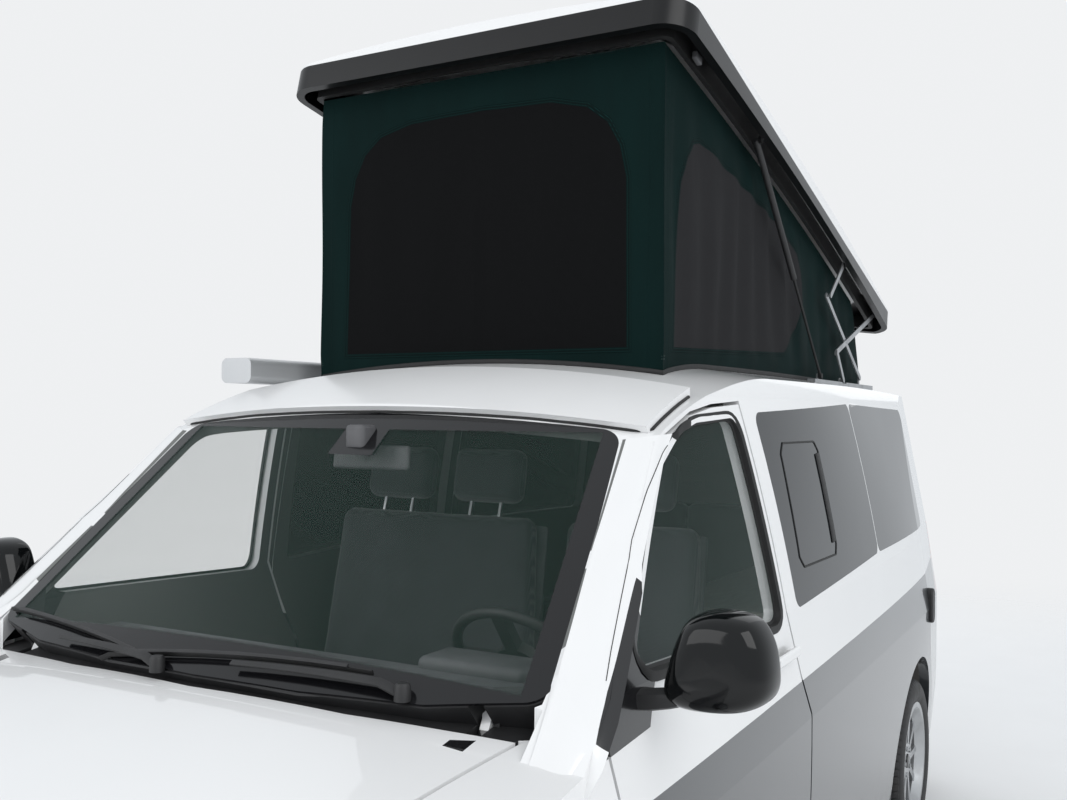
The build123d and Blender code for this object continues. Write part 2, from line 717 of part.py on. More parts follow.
# Bumper with its intakes, their slotted inserts and the fog lamps before them
intakes = [(CENTRE_INTAKE, 1), (SIDE_INTAKE, 1), ([(-y, z) for y, z in SIDE_INTAKE], -1)]
insert_skin = nose_form(INSERT_DEPTH[0]) - nose_form(INSERT_DEPTH[1])
front_bumper = sides & front_end
inserts = []
for outline, side in intakes:
    front_bumper = front_bumper - rear_region(outline, *NOSE_CUT_X, radius=INTAKE_RADIUS)
    insert = insert_skin & rear_region(outline, *NOSE_CUT_X, grow=-SEAT, radius=INTAKE_RADIUS)
    inner, outer_y = sorted(y for y, z in outline)[1:3]
    for z in INSERT_SLOTS_Z:
        slot_low = (NOSE_CUT_X[0], inner + INTAKE_RADIUS, z)
        insert = insert - box_between(slot_low, (NOSE_CUT_X[1], outer_y - INTAKE_RADIUS, z + INSERT_SLOT_HEIGHT))
    inserts.append(insert)
keep("bumper_inserts", Compound(children=inserts))
with BuildPart() as fog_lamp:
    with BuildSketch(Plane.YZ.offset(NOSE_CUT_X[0])):
        with Locations(FOG_LAMP):
            Circle(FOG_LAMP_RADIUS)
    extrude(amount=NOSE_CUT_X[1] - NOSE_CUT_X[0])
    add(nose_form(FOG_LAMP_DEPTH), mode=Mode.INTERSECT)
    add(nose_form(INSERT_DEPTH[0] - SEAT), mode=Mode.SUBTRACT)
keep("fog_lamps", both_sides(fog_lamp.part))
keep("front_bumper", front_bumper + plate_pad(FRONT_PLATE[0], FRONT_PLATE[0] - PLATE_PAD, FRONT_PLATE[1]))
keep("rear_bumper", sides & rear_end)
grille = (nose_skin - front_end) & grille_block
for z in GRILLE_SLOTS_Z:
    grille = grille - box_between(
        (NOSE_CUT_X[0], -GRILLE_SLOT_HALF, z), (NOSE_CUT_X[1], GRILLE_SLOT_HALF, z + GRILLE_SLOT_HEIGHT),
    )
keep("grille", grille)
lamps = (nose_skin - front_end) - grille_block
keep("headlamps", Compound(children=[lamps & block for block in lamp_both]))
keep("tail_lamps", Compound(children=[(sides - rear_end) & block for block in tail_lamp_both]))
sides = sides - front_end - rear_end
with BuildPart() as cowl_plate:
    add(cowl_block)
    add(bonnet_form(COWL_DEPTH[0]), mode=Mode.INTERSECT)
with BuildPart() as cowl:
    add(screen_region(SCREEN_OUTLINE, SCREEN_CORNER, grow=SEAM))
    add(screen_region(SCREEN_OUTLINE, SCREEN_CORNER, grow=-COWL_LEDGE), mode=Mode.SUBTRACT)
    add(screen_cylinder(SCREEN_GLASS + SEAT), mode=Mode.INTERSECT)
    add(cowl_block, mode=Mode.INTERSECT)
    add(cowl_plate.part)
    add(bonnet_form(COWL_DEPTH[1]), mode=Mode.SUBTRACT)
keep("cowl", cowl.part)
sides = sides - plan_region(COWL_OUTLINE, *COWL_CUT_Z, grow=SEAT) - (box_between(*WING_TOE) - bonnet_form(0))
sides = sides - grille_block - lamp_both[0] - lamp_both[1] - tail_lamp_both[0] - tail_lamp_both[1]
sides = sides - door_region(SHUT_GAP) - mirrored(door_region(SHUT_GAP))
wing = (sides & wing_block) & side_space(1)
body = (sides - wing_block) & side_space(1)
keep("body_side_left", body - side_windows[0] - side_windows[1])
right = mirrored(body)
slider_opening = mirrored(side_region(SLIDER_OUTLINE, *SIDE_CUT_Y, grow=SEAM))
slider_block = mirrored(side_region(SLIDER_OUTLINE, *SIDE_CUT_Y))
door_post = side_region(DOOR_POST, *SIDE_CUT_Y)
mid_right, rear_right = (mirrored(block - door_post) for block in side_windows)


# Pull handle on two feet, on the left side
def handle(x_from, x_to):
    with BuildPart() as grip:
        add(box_between((x_from, HANDLE_Y[1], HANDLE_Z[0]), (x_to, HANDLE_Y[2], HANDLE_Z[1])))
        fillet(grip.edges().filter_by(Axis.X), HANDLE_ROUND)
        for x in (x_from, x_to - HANDLE_FOOT):
            foot_low = (x, HANDLE_Y[0], HANDLE_Z[0] + HANDLE_ROUND)
            add(box_between(foot_low, (x + HANDLE_FOOT, HANDLE_Y[2] - HANDLE_ROUND, HANDLE_Z[1] - HANDLE_ROUND)))
    return grip.part


keep("body_side_right", right - slider_opening - rear_right - mid_right - box_between(*SLIDE_RAIL))
keep("sliding_door", (right & slider_block) - mid_right + mirrored(handle(*SLIDER_HANDLE_X)))
keep("door_left", (shell & door_region(0)) - door_window + handle(*DOOR_HANDLE_X))
tailgate = (shell & tailgate_region(0)) - tail_window
tailgate = tailgate + plate_pad(REAR_PLATE[0], REAR_PLATE[0] + PLATE_PAD, REAR_PLATE[1])
keep("tailgate", tailgate + box_between(*TAILGATE_HANDLE))
keep("bonnet", shell & bonnet_region(0))


def pane(skin, outline):
    cut = skin & side_region(outline, *SIDE_CUT_Y, grow=-SEAT, radius=SIDE_GLASS_RADIUS)
    return cut.solids().sort_by(SortBy.VOLUME)[-1]


panes = [pane(glass_skin, outline) for outline in (MID_GLASS, REAR_GLASS)]
post_room = side_region(DOOR_POST, *SIDE_CUT_Y, grow=SEAT)
keep("side_glass", Compound(children=panes + [mirrored(glass - post_room) for glass in panes]))
keep("door_glass_left", pane(door_glass_skin, DOOR_GLASS))
keep("door_glass_right", mirrored(pieces["door_glass_left"]))
keep("tailgate_glass", glass_skin & rear_region(TAIL_GLASS, *TAIL_CUT_X, grow=-SEAT, radius=TAIL_GLASS_RADIUS))
with BuildPart() as screen:
    add(screen_region(SCREEN_OUTLINE, SCREEN_CORNER, grow=-SEAT))
    add(screen_cylinder(0), mode=Mode.INTERSECT)
    add(screen_cylinder(SCREEN_GLASS), mode=Mode.SUBTRACT)
keep("windscreen", screen.part)
over_roof = body_form(-SEAT)


# Mirror housing, domed forwards, on its arm
def mirror_section(x, share):
    middle_y, middle_z = MIRROR_MIDDLE
    outline = [(middle_y + (y - middle_y) * share, middle_z + (z - middle_z) * share) for y, z in MIRROR_OUTLINE]
    with BuildSketch(Plane.YZ.offset(x)) as section:
        with BuildLine():
            Polyline(*outline, close=True)
        make_face()
        fillet(section.vertices(), MIRROR_CORNER * share)
    return section.sketch


with BuildPart() as mirror_case:
    for row in MIRROR_SECTIONS:
        add(mirror_section(*row))
    loft()
    add(box_between(*MIRROR_ARM))
    add(over_roof, mode=Mode.SUBTRACT)
keep("mirror_left", mirror_case.part)
keep("mirror_right", mirrored(mirror_case.part))

with BuildPart() as inlet:
    with BuildSketch(Plane.XZ.offset(-INLET_Y[1])):
        with Locations(INLET):
            SlotCenterToCenter(INLET_SIZE[1] - INLET_SIZE[0], INLET_SIZE[0], rotation=90)
    extrude(amount=INLET_Y[1] - INLET_Y[0])
    fillet(inlet.faces().sort_by(Axis.Y)[-1].edges(), INLET_ROUND)
    add(over_roof, mode=Mode.SUBTRACT)
keep("inlet_cover", inlet.part)


# Hinge pins of doors, bonnet and tailgate
def upright_pin(x, y, radius, z_from, z_to):
    with BuildPart() as pin:
        with BuildSketch(Plane.XY.offset(z_from)):
            with Locations((x, y)):
                Circle(radius)
        extrude(amount=z_to - z_from)
    return pin.part


def rod(start, end, radius):
    direction = Vector(*end) - Vector(*start)
    with BuildPart() as bar:
        with BuildSketch(Plane(origin=start, z_dir=direction)):
            Circle(radius)
        extrude(amount=direction.length)
    return bar.part


door_pin = upright_pin(*DOOR_HINGE, DOOR_PIN_RADIUS, *DOOR_PIN_Z)
door_bore = upright_pin(*DOOR_HINGE, DOOR_PIN_RADIUS + PIN_GAP, DOOR_PIN_Z[0] - BORE_OVERRUN, DOOR_PIN_Z[1])
keep("front_wings", both_sides(wing - door_bore))
pieces["door_left"] = pieces["door_left"] + door_pin
pieces["door_right"] = mirrored(pieces["door_left"])

# Bonnet hinges: arms fused to the bonnet, each with a pin through two lugs on the cowl
with BuildPart() as bonnet_arm:
    add(side_region(BONNET_ARM, *BONNET_ARM_Y))
    add(drum(*BONNET_HINGE, BONNET_EYE_RADIUS, *BONNET_ARM_Y))
    add(drum(*BONNET_HINGE, BONNET_PIN_RADIUS, BONNET_LUGS_Y[0][0], BONNET_LUGS_Y[1][1]))
room_low, room_high = BONNET_ARM_ROOM
arm_room = box_between((*room_low, COWL_CUT_Z[0]), (*room_high, COWL_CUT_Z[1]))
with BuildPart() as lug_pair:
    for y_from, y_to in BONNET_LUGS_Y:
        add(drum(*BONNET_HINGE, BONNET_EYE_RADIUS, y_from, y_to))
        lug_low = (BONNET_HINGE[0] - BONNET_EYE_RADIUS, y_from, BONNET_LUG_Z)
        add(box_between(lug_low, (BONNET_HINGE[0] + BONNET_EYE_RADIUS, y_to, BONNET_HINGE[1])))
bonnet_bore = drum(*BONNET_HINGE, BONNET_PIN_RADIUS + PIN_GAP, BONNET_LUGS_Y[0][0] - BORE_OVERRUN,
                   BONNET_LUGS_Y[1][1] + BORE_OVERRUN)
hinged_cowl = pieces["cowl"]
hinged_bonnet = pieces["bonnet"]
for part_of_side in (lambda part: part, mirrored):
    hinged_cowl = hinged_cowl - part_of_side(arm_room) + part_of_side(lug_pair.part) - part_of_side(bonnet_bore)
    hinged_bonnet = hinged_bonnet + part_of_side(bonnet_arm.part)
pieces["cowl"] = hinged_cowl
pieces["bonnet"] = hinged_bonnet

# Tailgate hinges: lugs down from the roof's rear edge, pins across notches in the tailgate
hinge_x, hinge_z = TAILGATE_HINGE
for s in (1, -1):
    y_low = s * TAILGATE_HINGE_Y - HINGE_LUG_WIDTH / 2
    y_high = y_low + HINGE_LUG_WIDTH
    notch = box_between(
        (hinge_x - HINGE_LUG_RADIUS - SHUT_GAP, y_low - SEAM, hinge_z - HINGE_LUG_RADIUS - SHUT_GAP),
        (hinge_x + HINGE_NOTCH_DEPTH, y_high + SEAM, TAILGATE_HEAD_Z),
    )
    lug = drum(hinge_x, hinge_z, HINGE_LUG_RADIUS, y_low, y_high) + box_between(
        (hinge_x, y_low, hinge_z - HINGE_LUG_RADIUS),
        (hinge_x + 2 * HINGE_LUG_RADIUS, y_high, TAILGATE_HEAD_Z + HINGE_LUG_TUCK),
    )
    pin = drum(hinge_x, hinge_z, TAILGATE_PIN_RADIUS, y_low - HINGE_PIN_OVERHANG, y_high + HINGE_PIN_OVERHANG)
    bore = drum(hinge_x, hinge_z, TAILGATE_PIN_RADIUS + PIN_GAP, y_low - BORE_OVERRUN, y_high + BORE_OVERRUN)
    pieces["roof_panel"] = pieces["roof_panel"] + lug - bore
    pieces["tailgate"] = pieces["tailgate"] - notch + pin


# Floor with wheel houses, chassis rails and bulkhead
def wheel_house(x, inner_y):
    low = RAIL_Z[0] if x > 0 else FLOOR_Z[0]
    with BuildPart() as house:
        add(drum(x, TYRE_RADIUS, ARCH_RADIUS + HOUSE_WALL, inner_y - HOUSE_WALL, HALF_SPACE))
        add(drum(x, TYRE_RADIUS, ARCH_RADIUS, inner_y, HALF_SPACE), mode=Mode.SUBTRACT)
        add(box_between((x - HOUSE_REACH, 0, -HOUSE_REACH), (x + HOUSE_REACH, HALF_SPACE, low)), mode=Mode.SUBTRACT)
    return house.part


house_spaces = [
    drum(FRONT_AXLE_X, TYRE_RADIUS, ARCH_RADIUS, ARCH_INNER_Y, HALF_SPACE),
    drum(REAR_AXLE_X, TYRE_RADIUS, ARCH_RADIUS, ARCH_REAR_INNER_Y, HALF_SPACE),
]
with BuildPart() as floor_pan:
    add(box_between((FLOOR_X[0], -HALF_SPACE, FLOOR_Z[0]), (FLOOR_X[1], HALF_SPACE, FLOOR_Z[1])))
    for s in (1, -1):
        low, high = sorted((s * RAIL_Y[0], s * RAIL_Y[1]))
        add(box_between((RAIL_X[0], low, RAIL_Z[0]), (RAIL_X[1], high, RAIL_Z[1])))
    add(side_region(BULKHEAD, -DASH_HALF, DASH_HALF))
    for space in house_spaces:
        add(space, mode=Mode.SUBTRACT)
        add(mirrored(space), mode=Mode.SUBTRACT)
    for x, inner_y in ((FRONT_AXLE_X, ARCH_INNER_Y), (REAR_AXLE_X, ARCH_REAR_INNER_Y)):
        house = wheel_house(x, inner_y)
        add(house)
        add(mirrored(house))
    add(cabin_space, mode=Mode.INTERSECT)
keep("floor_pan", floor_pan.part)


# Wheels
def tyre_piece(x, s):
    bead, wall, shoulder, tread = TYRE_SECTION_WIDTHS
    with BuildPart() as tyre:
        with BuildSketch(Plane(origin=(x, s * WHEEL_Y, TYRE_RADIUS), x_dir=(0, 0, 1), z_dir=(-1, 0, 0))):
            with BuildLine():
                for side in (1, -1):
                    edge = (TREAD_SHOULDER_RADIUS, side * shoulder)
                    ThreePointArc((RIM_RADIUS + SEAT, side * bead), (TYRE_BULGE_RADIUS, side * wall), edge)
                    Line(edge, (TYRE_RADIUS, side * tread))
                Line((TYRE_RADIUS, tread), (TYRE_RADIUS, -tread))
                Line((RIM_RADIUS + SEAT, bead), (RIM_RADIUS + SEAT, -bead))
            make_face()
        revolve(axis=Axis((x, s * WHEEL_Y, TYRE_RADIUS), (0, 1, 0)), revolution_arc=360)
    return tyre.part


def rim_piece(x, s):
    centre = (x, s * WHEEL_Y, TYRE_RADIUS)
    face = Plane(origin=(x, s * (WHEEL_Y + HUB_FACE[0]), TYRE_RADIUS), x_dir=(1, 0, 0), z_dir=(0, s, 0))
    disc = Plane(origin=(x, s * (WHEEL_Y + DISC_FACE[0]), TYRE_RADIUS), x_dir=(1, 0, 0), z_dir=(0, s, 0))
    with BuildPart() as rim:
        with BuildSketch(Plane(origin=centre, x_dir=(0, 0, 1), z_dir=(-1, 0, 0))):
            with BuildLine():
                Polyline(*RIM_SECTION, close=True)
            make_face()
        revolve(axis=Axis(centre, (0, 1, 0)), revolution_arc=360)
        with BuildSketch(face):
            Circle(HUB_RADIUS)
            with PolarLocations(0, SPOKE_COUNT):
                with Locations((SPOKE_MIDDLE, 0)):
                    Rectangle(SPOKE_LENGTH, SPOKE_WIDTH)
        extrude(amount=HUB_FACE[1] - HUB_FACE[0])
        with BuildSketch(disc):
            Circle(DISC_RADIUS)
        extrude(amount=DISC_FACE[1] - DISC_FACE[0])
        with BuildSketch(disc):
            Circle(HUB_RADIUS)
        extrude(amount=HUB_FACE[0] - DISC_FACE[0])
        with BuildSketch(disc):
            Circle(SPINDLE_RADIUS + PIN_GAP)
        extrude(amount=SPINDLE_TIP_Y - WHEEL_Y + PIN_GAP - DISC_FACE[0], mode=Mode.SUBTRACT)
    return rim.part


for end, x in (("front", FRONT_AXLE_X), ("rear", REAR_AXLE_X)):
    for side, s in (("left", 1), ("right", -1)):
        keep(f"tyre_{end}_{side}", tyre_piece(x, s))
        keep(f"rim_{end}_{side}", rim_piece(x, s))


# Steering knuckles inside the front wheels
with BuildPart() as knuckle:
    add(box_between(
        (FRONT_AXLE_X - KNUCKLE_HALF[0], KINGPIN_Y - KNUCKLE_HALF[1], KNUCKLE_Z[0]),
        (FRONT_AXLE_X + KNUCKLE_HALF[0], KINGPIN_Y + KNUCKLE_HALF[1], KNUCKLE_Z[1]),
    ))
    fillet(knuckle.edges().filter_by(Axis.Z), KNUCKLE_CORNER)
    add(upright_pin(FRONT_AXLE_X, KINGPIN_Y, KINGPIN_RADIUS, KNUCKLE_Z[0] - PIN_REACH, KNUCKLE_Z[1] + PIN_REACH))
    add(drum(FRONT_AXLE_X, TYRE_RADIUS, SPINDLE_RADIUS, KINGPIN_Y, SPINDLE_TIP_Y))
keep("knuckle_left", knuckle.part)
keep("knuckle_right", mirrored(knuckle.part))

with BuildPart() as suspension_side:
    for z_low, z_high, inner_y in (
        (KNUCKLE_Z[0] - PIN_REACH, KNUCKLE_Z[0] - PIN_GAP, SUBFRAME_INNER_Y),
        (KNUCKLE_Z[1] + PIN_GAP, KNUCKLE_Z[1] + PIN_REACH, ARCH_INNER_Y + SEAT),
    ):
        with BuildSketch(Plane.XY.offset(z_low)):
            with BuildLine():
                Polyline(
                    (FRONT_AXLE_X - ARM_HALF, inner_y), (FRONT_AXLE_X + ARM_HALF, inner_y),
                    (FRONT_AXLE_X + ARM_TIP_HALF, KINGPIN_Y), (FRONT_AXLE_X - ARM_TIP_HALF, KINGPIN_Y), close=True,
                )
            make_face()
            with Locations((FRONT_AXLE_X, KINGPIN_Y)):
                Circle(ARM_EYE_RADIUS)
                Circle(KINGPIN_RADIUS + PIN_GAP, mode=Mode.SUBTRACT)
        extrude(amount=z_high - z_low)
    strut_top = TYRE_RADIUS + math.sqrt(ARCH_RADIUS**2 - STRUT_RADIUS**2) - SEAT
    add(upright_pin(FRONT_AXLE_X, STRUT_Y, STRUT_RADIUS, KNUCKLE_Z[1], strut_top))
subframe = box_between((SUBFRAME_X[0], -RAIL_Y[1], SUBFRAME_Z[0]), (SUBFRAME_X[1], RAIL_Y[1], SUBFRAME_Z[1] - SEAT))
inner_arm = box_between(
    (FRONT_AXLE_X - ARM_HALF, RAIL_Y[0], KNUCKLE_Z[0] - PIN_REACH),
    (FRONT_AXLE_X + ARM_HALF, SUBFRAME_INNER_Y + ARM_LAP, SUBFRAME_Z[0] + ARM_LAP),
)
with BuildPart() as front_suspension:
    add(subframe)
    for piece in (suspension_side.part, inner_arm):
        add(piece)
        add(mirrored(piece))
keep("front_suspension", front_suspension.part)

# Rear axle: cross beam, trailing arms with spindles, and springs under the rails
with BuildPart() as rear_axle:
    add(drum(REAR_BEAM_X, REAR_BEAM_Z, REAR_BEAM_RADIUS, -REAR_ARM_Y[1], REAR_ARM_Y[1]))
    for s in (1, -1):
        low, high = sorted((s * REAR_ARM_Y[0], s * REAR_ARM_Y[1]))
        add(side_region(REAR_ARM, low, high))
        add(drum(REAR_AXLE_X, TYRE_RADIUS, SPINDLE_RADIUS, *sorted((s * REAR_ARM_Y[0], s * SPINDLE_TIP_Y))))
        add(upright_pin(SPRING_X, (low + high) / 2, SPRING_RADIUS, SPRING_FOOT_Z, REAR_ARM_TOP))
keep("rear_axle", rear_axle.part)

with BuildPart() as engine_block:
    add(box_between(*ENGINE))
    chamfer(engine_block.edges().filter_by(Axis.Z), ENGINE_CORNER)
    for s in (1, -1):
        low, high = sorted((s * ENGINE_MOUNT_Y, s * (ARCH_INNER_Y - HOUSE_WALL - SEAT)))
        mount_top = RAIL_Z[1] + ENGINE_MOUNT_HEIGHT
        add(box_between((ENGINE_MOUNT_X[0], low, RAIL_Z[1] + SEAT), (ENGINE_MOUNT_X[1], high, mount_top)))
keep("engine_block", engine_block.part)

with BuildPart() as exhaust:
    add(rod((EXHAUST_X[1], EXHAUST_Y, EXHAUST_Z), (MUFFLER[1][0], EXHAUST_Y, EXHAUST_Z), EXHAUST_RADIUS))
    add(rod((MUFFLER[0][0], EXHAUST_Y, EXHAUST_Z), (EXHAUST_X[0], EXHAUST_Y, EXHAUST_Z), EXHAUST_RADIUS))
    add(box_between(*MUFFLER))
    strap, half = EXHAUST_HANGER
    for x in EXHAUST_HANGERS_X:
        add(box_between((x, EXHAUST_Y - half, EXHAUST_Z), (x + strap, EXHAUST_Y + half, FLOOR_Z[0] - SEAT)))
keep("exhaust", exhaust.part)


# Cab
def column_point(along):
    slant = math.radians(STEERING_SLANT)
    return (
        STEERING_CENTRE[0] + along * math.cos(slant), STEERING_Y, STEERING_CENTRE[1] - along * math.sin(slant),
    )


COLUMN = Vector(*column_point(1)) - Vector(*column_point(0))
with BuildPart() as dashboard:
    add(side_region(DASH_PROFILE, -DASH_HALF, DASH_HALF, radius=DASH_CORNER))
    add(rod(*(column_point(along) for along in COLUMN_ALONG), COLUMN_RADIUS))
    add(rod(*(column_point(along) for along in STEERING_BORE), STEERING_SHAFT_RADIUS + PIN_GAP), mode=Mode.SUBTRACT)
keep("dashboard", dashboard.part)

wheel_plane = Plane(origin=column_point(0), x_dir=(0, 1, 0), z_dir=COLUMN)
with BuildPart() as steering_wheel:
    with BuildSketch(Plane(origin=column_point(0), x_dir=COLUMN.cross(Vector(0, 1, 0)), z_dir=(0, 1, 0))):
        with Locations((STEERING_RADIUS - STEERING_RIM, 0)):
            Circle(STEERING_RIM)
    revolve(axis=Axis(column_point(0), COLUMN), revolution_arc=360)
    with BuildSketch(wheel_plane):
        Circle(STEERING_HUB_RADIUS)
        for angle in (0, 180, 90):
            with Locations(Rotation(0, 0, angle)):
                with Locations(STEERING_SPOKES[0]):
                    Rectangle(*STEERING_SPOKES[1])
    extrude(amount=STEERING_RIM, both=True)
    add(rod(column_point(0), column_point(STEERING_SHAFT_LENGTH), STEERING_SHAFT_RADIUS))
keep("steering_wheel", steering_wheel.part)


# Seats: cushion, back and head restraints over a pedestal
def seat_piece(y_low, y_high, head_places):
    foot_x, foot_end, foot_inset, foot_top = PEDESTAL
    with BuildPart() as seat:
        add(side_region(SEAT_CUSHION, y_low, y_high, radius=SEAT_CORNER))
        add(side_region(SEAT_BACK, y_low + SEAT_BACK_INSET, y_high - SEAT_BACK_INSET, radius=SEAT_CORNER))
        for place in head_places:
            add(side_region(SEAT_HEAD, place - HEAD_HALF, place + HEAD_HALF, radius=SEAT_CORNER))
            for y in (place - HEAD_POST_Y, place + HEAD_POST_Y):
                (x_foot, z_foot), (x_top, z_top) = HEAD_POST
                add(rod((x_foot, y, z_foot), (x_top, y, z_top), HEAD_POST_RADIUS))
        add(box_between((foot_x, y_low + foot_inset, FLOOR_Z[1] + SEAT), (foot_end, y_high - foot_inset, foot_top)))
    return seat.part


keep("front_seats", Compound(children=[seat_piece(*row) for row in FRONT_SEATS]))

# Room over the rear wheel house that bench and kitchen leave free
house_room = drum(
    REAR_AXLE_X, TYRE_RADIUS, ARCH_RADIUS + HOUSE_WALL + HOUSE_CLEARANCE,
    ARCH_REAR_INNER_Y - HOUSE_WALL - HOUSE_CLEARANCE, HALF_SPACE,
)
with BuildPart() as rear_bench:
    add(side_region(BENCH_OUTLINE, *BENCH_Y, radius=BENCH_CORNER))
    add(mirrored(house_room), mode=Mode.SUBTRACT)
keep("rear_bench", rear_bench.part)

with BuildPart() as kitchen_unit:
    (x0, y0, z0), (x1, y1, z1) = KITCHEN
    t = KITCHEN_WALL
    add(box_between((x0, y0, z0 + SEAT), (x1, y1, z1)))
    add(box_between((x0 + t, y0 + t, z0), (x1 - t, y1 - t, z1 - t)), mode=Mode.SUBTRACT)
    add(house_room, mode=Mode.SUBTRACT)
    add(cabin_space, mode=Mode.INTERSECT)
keep("kitchen_unit", kitchen_unit.part)


# Elevating roof: planes and points of the shell in its raised place
RAISE = math.atan2(RIM_FRONT[1] - RIM_REAR[1], RIM_FRONT[0] - RIM_REAR[0])
RIM_LENGTH = math.hypot(RIM_FRONT[0] - RIM_REAR[0], RIM_FRONT[1] - RIM_REAR[1])
SHELL_PLANE = Plane(
    origin=(RIM_REAR[0], 0, RIM_REAR[1]),
    x_dir=(math.cos(RAISE), 0, math.sin(RAISE)),
    z_dir=(-math.sin(RAISE), 0, math.cos(RAISE)),
)
ARCH_SWEEP = (RIM_LENGTH**2 / 4 + RIM_ARCH**2) / (2 * RIM_ARCH)
CROWN_SWEEP = (RIM_HALF**2 + SHELL_CROWN**2) / (2 * SHELL_CROWN)


# Volume between two arched sheets over the rim line, crowned across when asked
def arched_volume(low, high, crowned):
    reach = MARGIN
    side_plane = Plane(origin=SHELL_PLANE.origin, x_dir=SHELL_PLANE.x_dir, z_dir=(0, -1, 0))
    with BuildPart() as volume:
        with BuildSketch(side_plane):
            with BuildLine():
                for level in (low, high):
                    ThreePointArc((0, level), (RIM_LENGTH / 2, RIM_ARCH + level), (RIM_LENGTH, level))
                for x in (0, RIM_LENGTH):
                    Line((x, low), (x, high))
            make_face()
        if crowned:
            pivot = SHELL_PLANE.from_local_coords((0, 0, high - CROWN_SWEEP))
            revolve(axis=Axis(pivot, SHELL_PLANE.x_dir), revolution_arc=360)
        else:
            extrude(amount=RIM_HALF + reach, both=True)
    return volume.part


def shell_outline(inset, low, high):
    corner = max(SHELL_CORNER - inset, SHELL_WALL)
    with BuildPart() as prism:
        with BuildSketch(SHELL_PLANE.offset(low)):
            with Locations((RIM_LENGTH / 2, 0)):
                RectangleRounded(RIM_LENGTH - 2 * inset, 2 * (RIM_HALF - inset), corner)
        extrude(amount=high - low)
    return prism.part


# The closed van's roof with clearance, seen from the raised shell
def roof_seen():
    placed = roof_form(-RIM_CLEARANCE).moved(Location((-RIM_REAR_CLOSED[0], 0, -RIM_REAR_CLOSED[1])))
    return placed.moved(SHELL_PLANE.location)


shell_top = SHELL_DEPTH + SHELL_CROWN
roof_clear = roof_seen()
ROOF_PINS = [
    (BAR_B_TOP, LAYER_LINK_B), (LINK_A_ROOF, LAYER_LINK_A + BAR_THICK), (STRUT_ROOF, STRUT_LAYER + STRUT_EYE_GAP),
]
with BuildPart() as hollow:
    add(shell_outline(SHELL_WALL, *SHELL_REACH))
    add(arched_volume(SHELL_FALL, shell_top - SHELL_WALL, True), mode=Mode.INTERSECT)
with BuildPart() as boss_set:
    for (x, z), y_from in ROOF_PINS:
        add(drum(x, z, BOSS_RADIUS, y_from + SEAT, RIM_HALF - SHELL_WALL + SEAT))
with BuildPart() as bore_set:
    for (x, z), y_from in ROOF_PINS:
        add(drum(x, z, HINGE_PIN_RADIUS + PIN_GAP, y_from, ROOF_PIN_END + SEAT))
with BuildPart() as poptop_shell:
    add(shell_outline(0, *SHELL_REACH))
    add(arched_volume(0, 2 * shell_top, False), mode=Mode.INTERSECT)
    add(arched_volume(SHELL_FALL, shell_top, True), mode=Mode.INTERSECT)
    add(hollow.part, mode=Mode.SUBTRACT)
    add(roof_clear, mode=Mode.SUBTRACT)
    for add_on, mode in ((boss_set.part, Mode.ADD), (bore_set.part, Mode.SUBTRACT)):
        add(add_on, mode=mode)
        add(mirrored(add_on), mode=mode)
keep("poptop_shell", poptop_shell.part)

with BuildPart() as poptop_liner:
    add(shell_outline(LINER_INSET[0], *SHELL_REACH))
    add(arched_volume(0, 2 * shell_top, False), mode=Mode.INTERSECT)
    add(arched_volume(SHELL_FALL, shell_top - SHELL_WALL - SEAT, True), mode=Mode.INTERSECT)
    add(shell_outline(LINER_INSET[1], *SHELL_REACH), mode=Mode.SUBTRACT)
    add(roof_clear, mode=Mode.SUBTRACT)
keep("poptop_liner", poptop_liner.part)


# Scissor bars and links: flat bars with pins, one on each side of the van
def flat_bar(start, end, y_inner, half=BAR_HALF, thick=BAR_THICK, bores=(), pins=()):
    length = math.dist(start, end)
    plane = Plane(
        origin=(start[0], y_inner, start[1]),
        x_dir=((end[0] - start[0]) / length, 0, (end[1] - start[1]) / length),
        z_dir=(0, 1, 0),
    )
    with BuildPart() as bar:
        with BuildSketch(plane):
            with Locations((length / 2, 0)):
                SlotCenterToCenter(length, 2 * half)
        extrude(amount=thick)
        for x, z in bores:
            add(drum(x, z, HINGE_PIN_RADIUS + PIN_GAP, y_inner - 1, y_inner + thick + 1), mode=Mode.SUBTRACT)
        for x, z, y_from, y_to in pins:
            add(drum(x, z, HINGE_PIN_RADIUS, y_from, y_to))
    return bar.part


bar_a = flat_bar(BAR_A_BASE, BAR_A_TOP, LAYER_A, bores=[BAR_A_BASE], pins=[
    (*RIVET, LAYER_A, LAYER_B + BAR_THICK), (*BAR_A_TOP, LAYER_A, LAYER_LINK_A - SEAT),
])
bar_b = flat_bar(BAR_B_LOW, BAR_B_TOP, LAYER_B, bores=[RIVET], pins=[
    (*BAR_B_TOP, LAYER_B, ROOF_PIN_END), (*BAR_B_LOW, LAYER_B, LAYER_LINK_B - SEAT),
])
link_a = flat_bar(BAR_A_TOP, LINK_A_ROOF, LAYER_LINK_A, pins=[
    (*LINK_A_ROOF, LAYER_LINK_A, ROOF_PIN_END),
])
link_b = flat_bar(LINK_B_BASE, BAR_B_LOW, LAYER_LINK_B, bores=[LINK_B_BASE])
for name, bar in (("bar_a", bar_a), ("bar_b", bar_b), ("link_a", link_a), ("link_b", link_b)):
    keep(f"scissor_{name}", both_sides(bar))

# Gas struts between the raised shell and the base rails
strut_length = math.dist(STRUT_BASE, STRUT_ROOF)
strut_dir = [(STRUT_BASE[i] - STRUT_ROOF[i]) / strut_length for i in (0, 1)]


def strut_point(along):
    return (STRUT_ROOF[0] + strut_dir[0] * along, STRUT_LAYER, STRUT_ROOF[1] + strut_dir[1] * along)


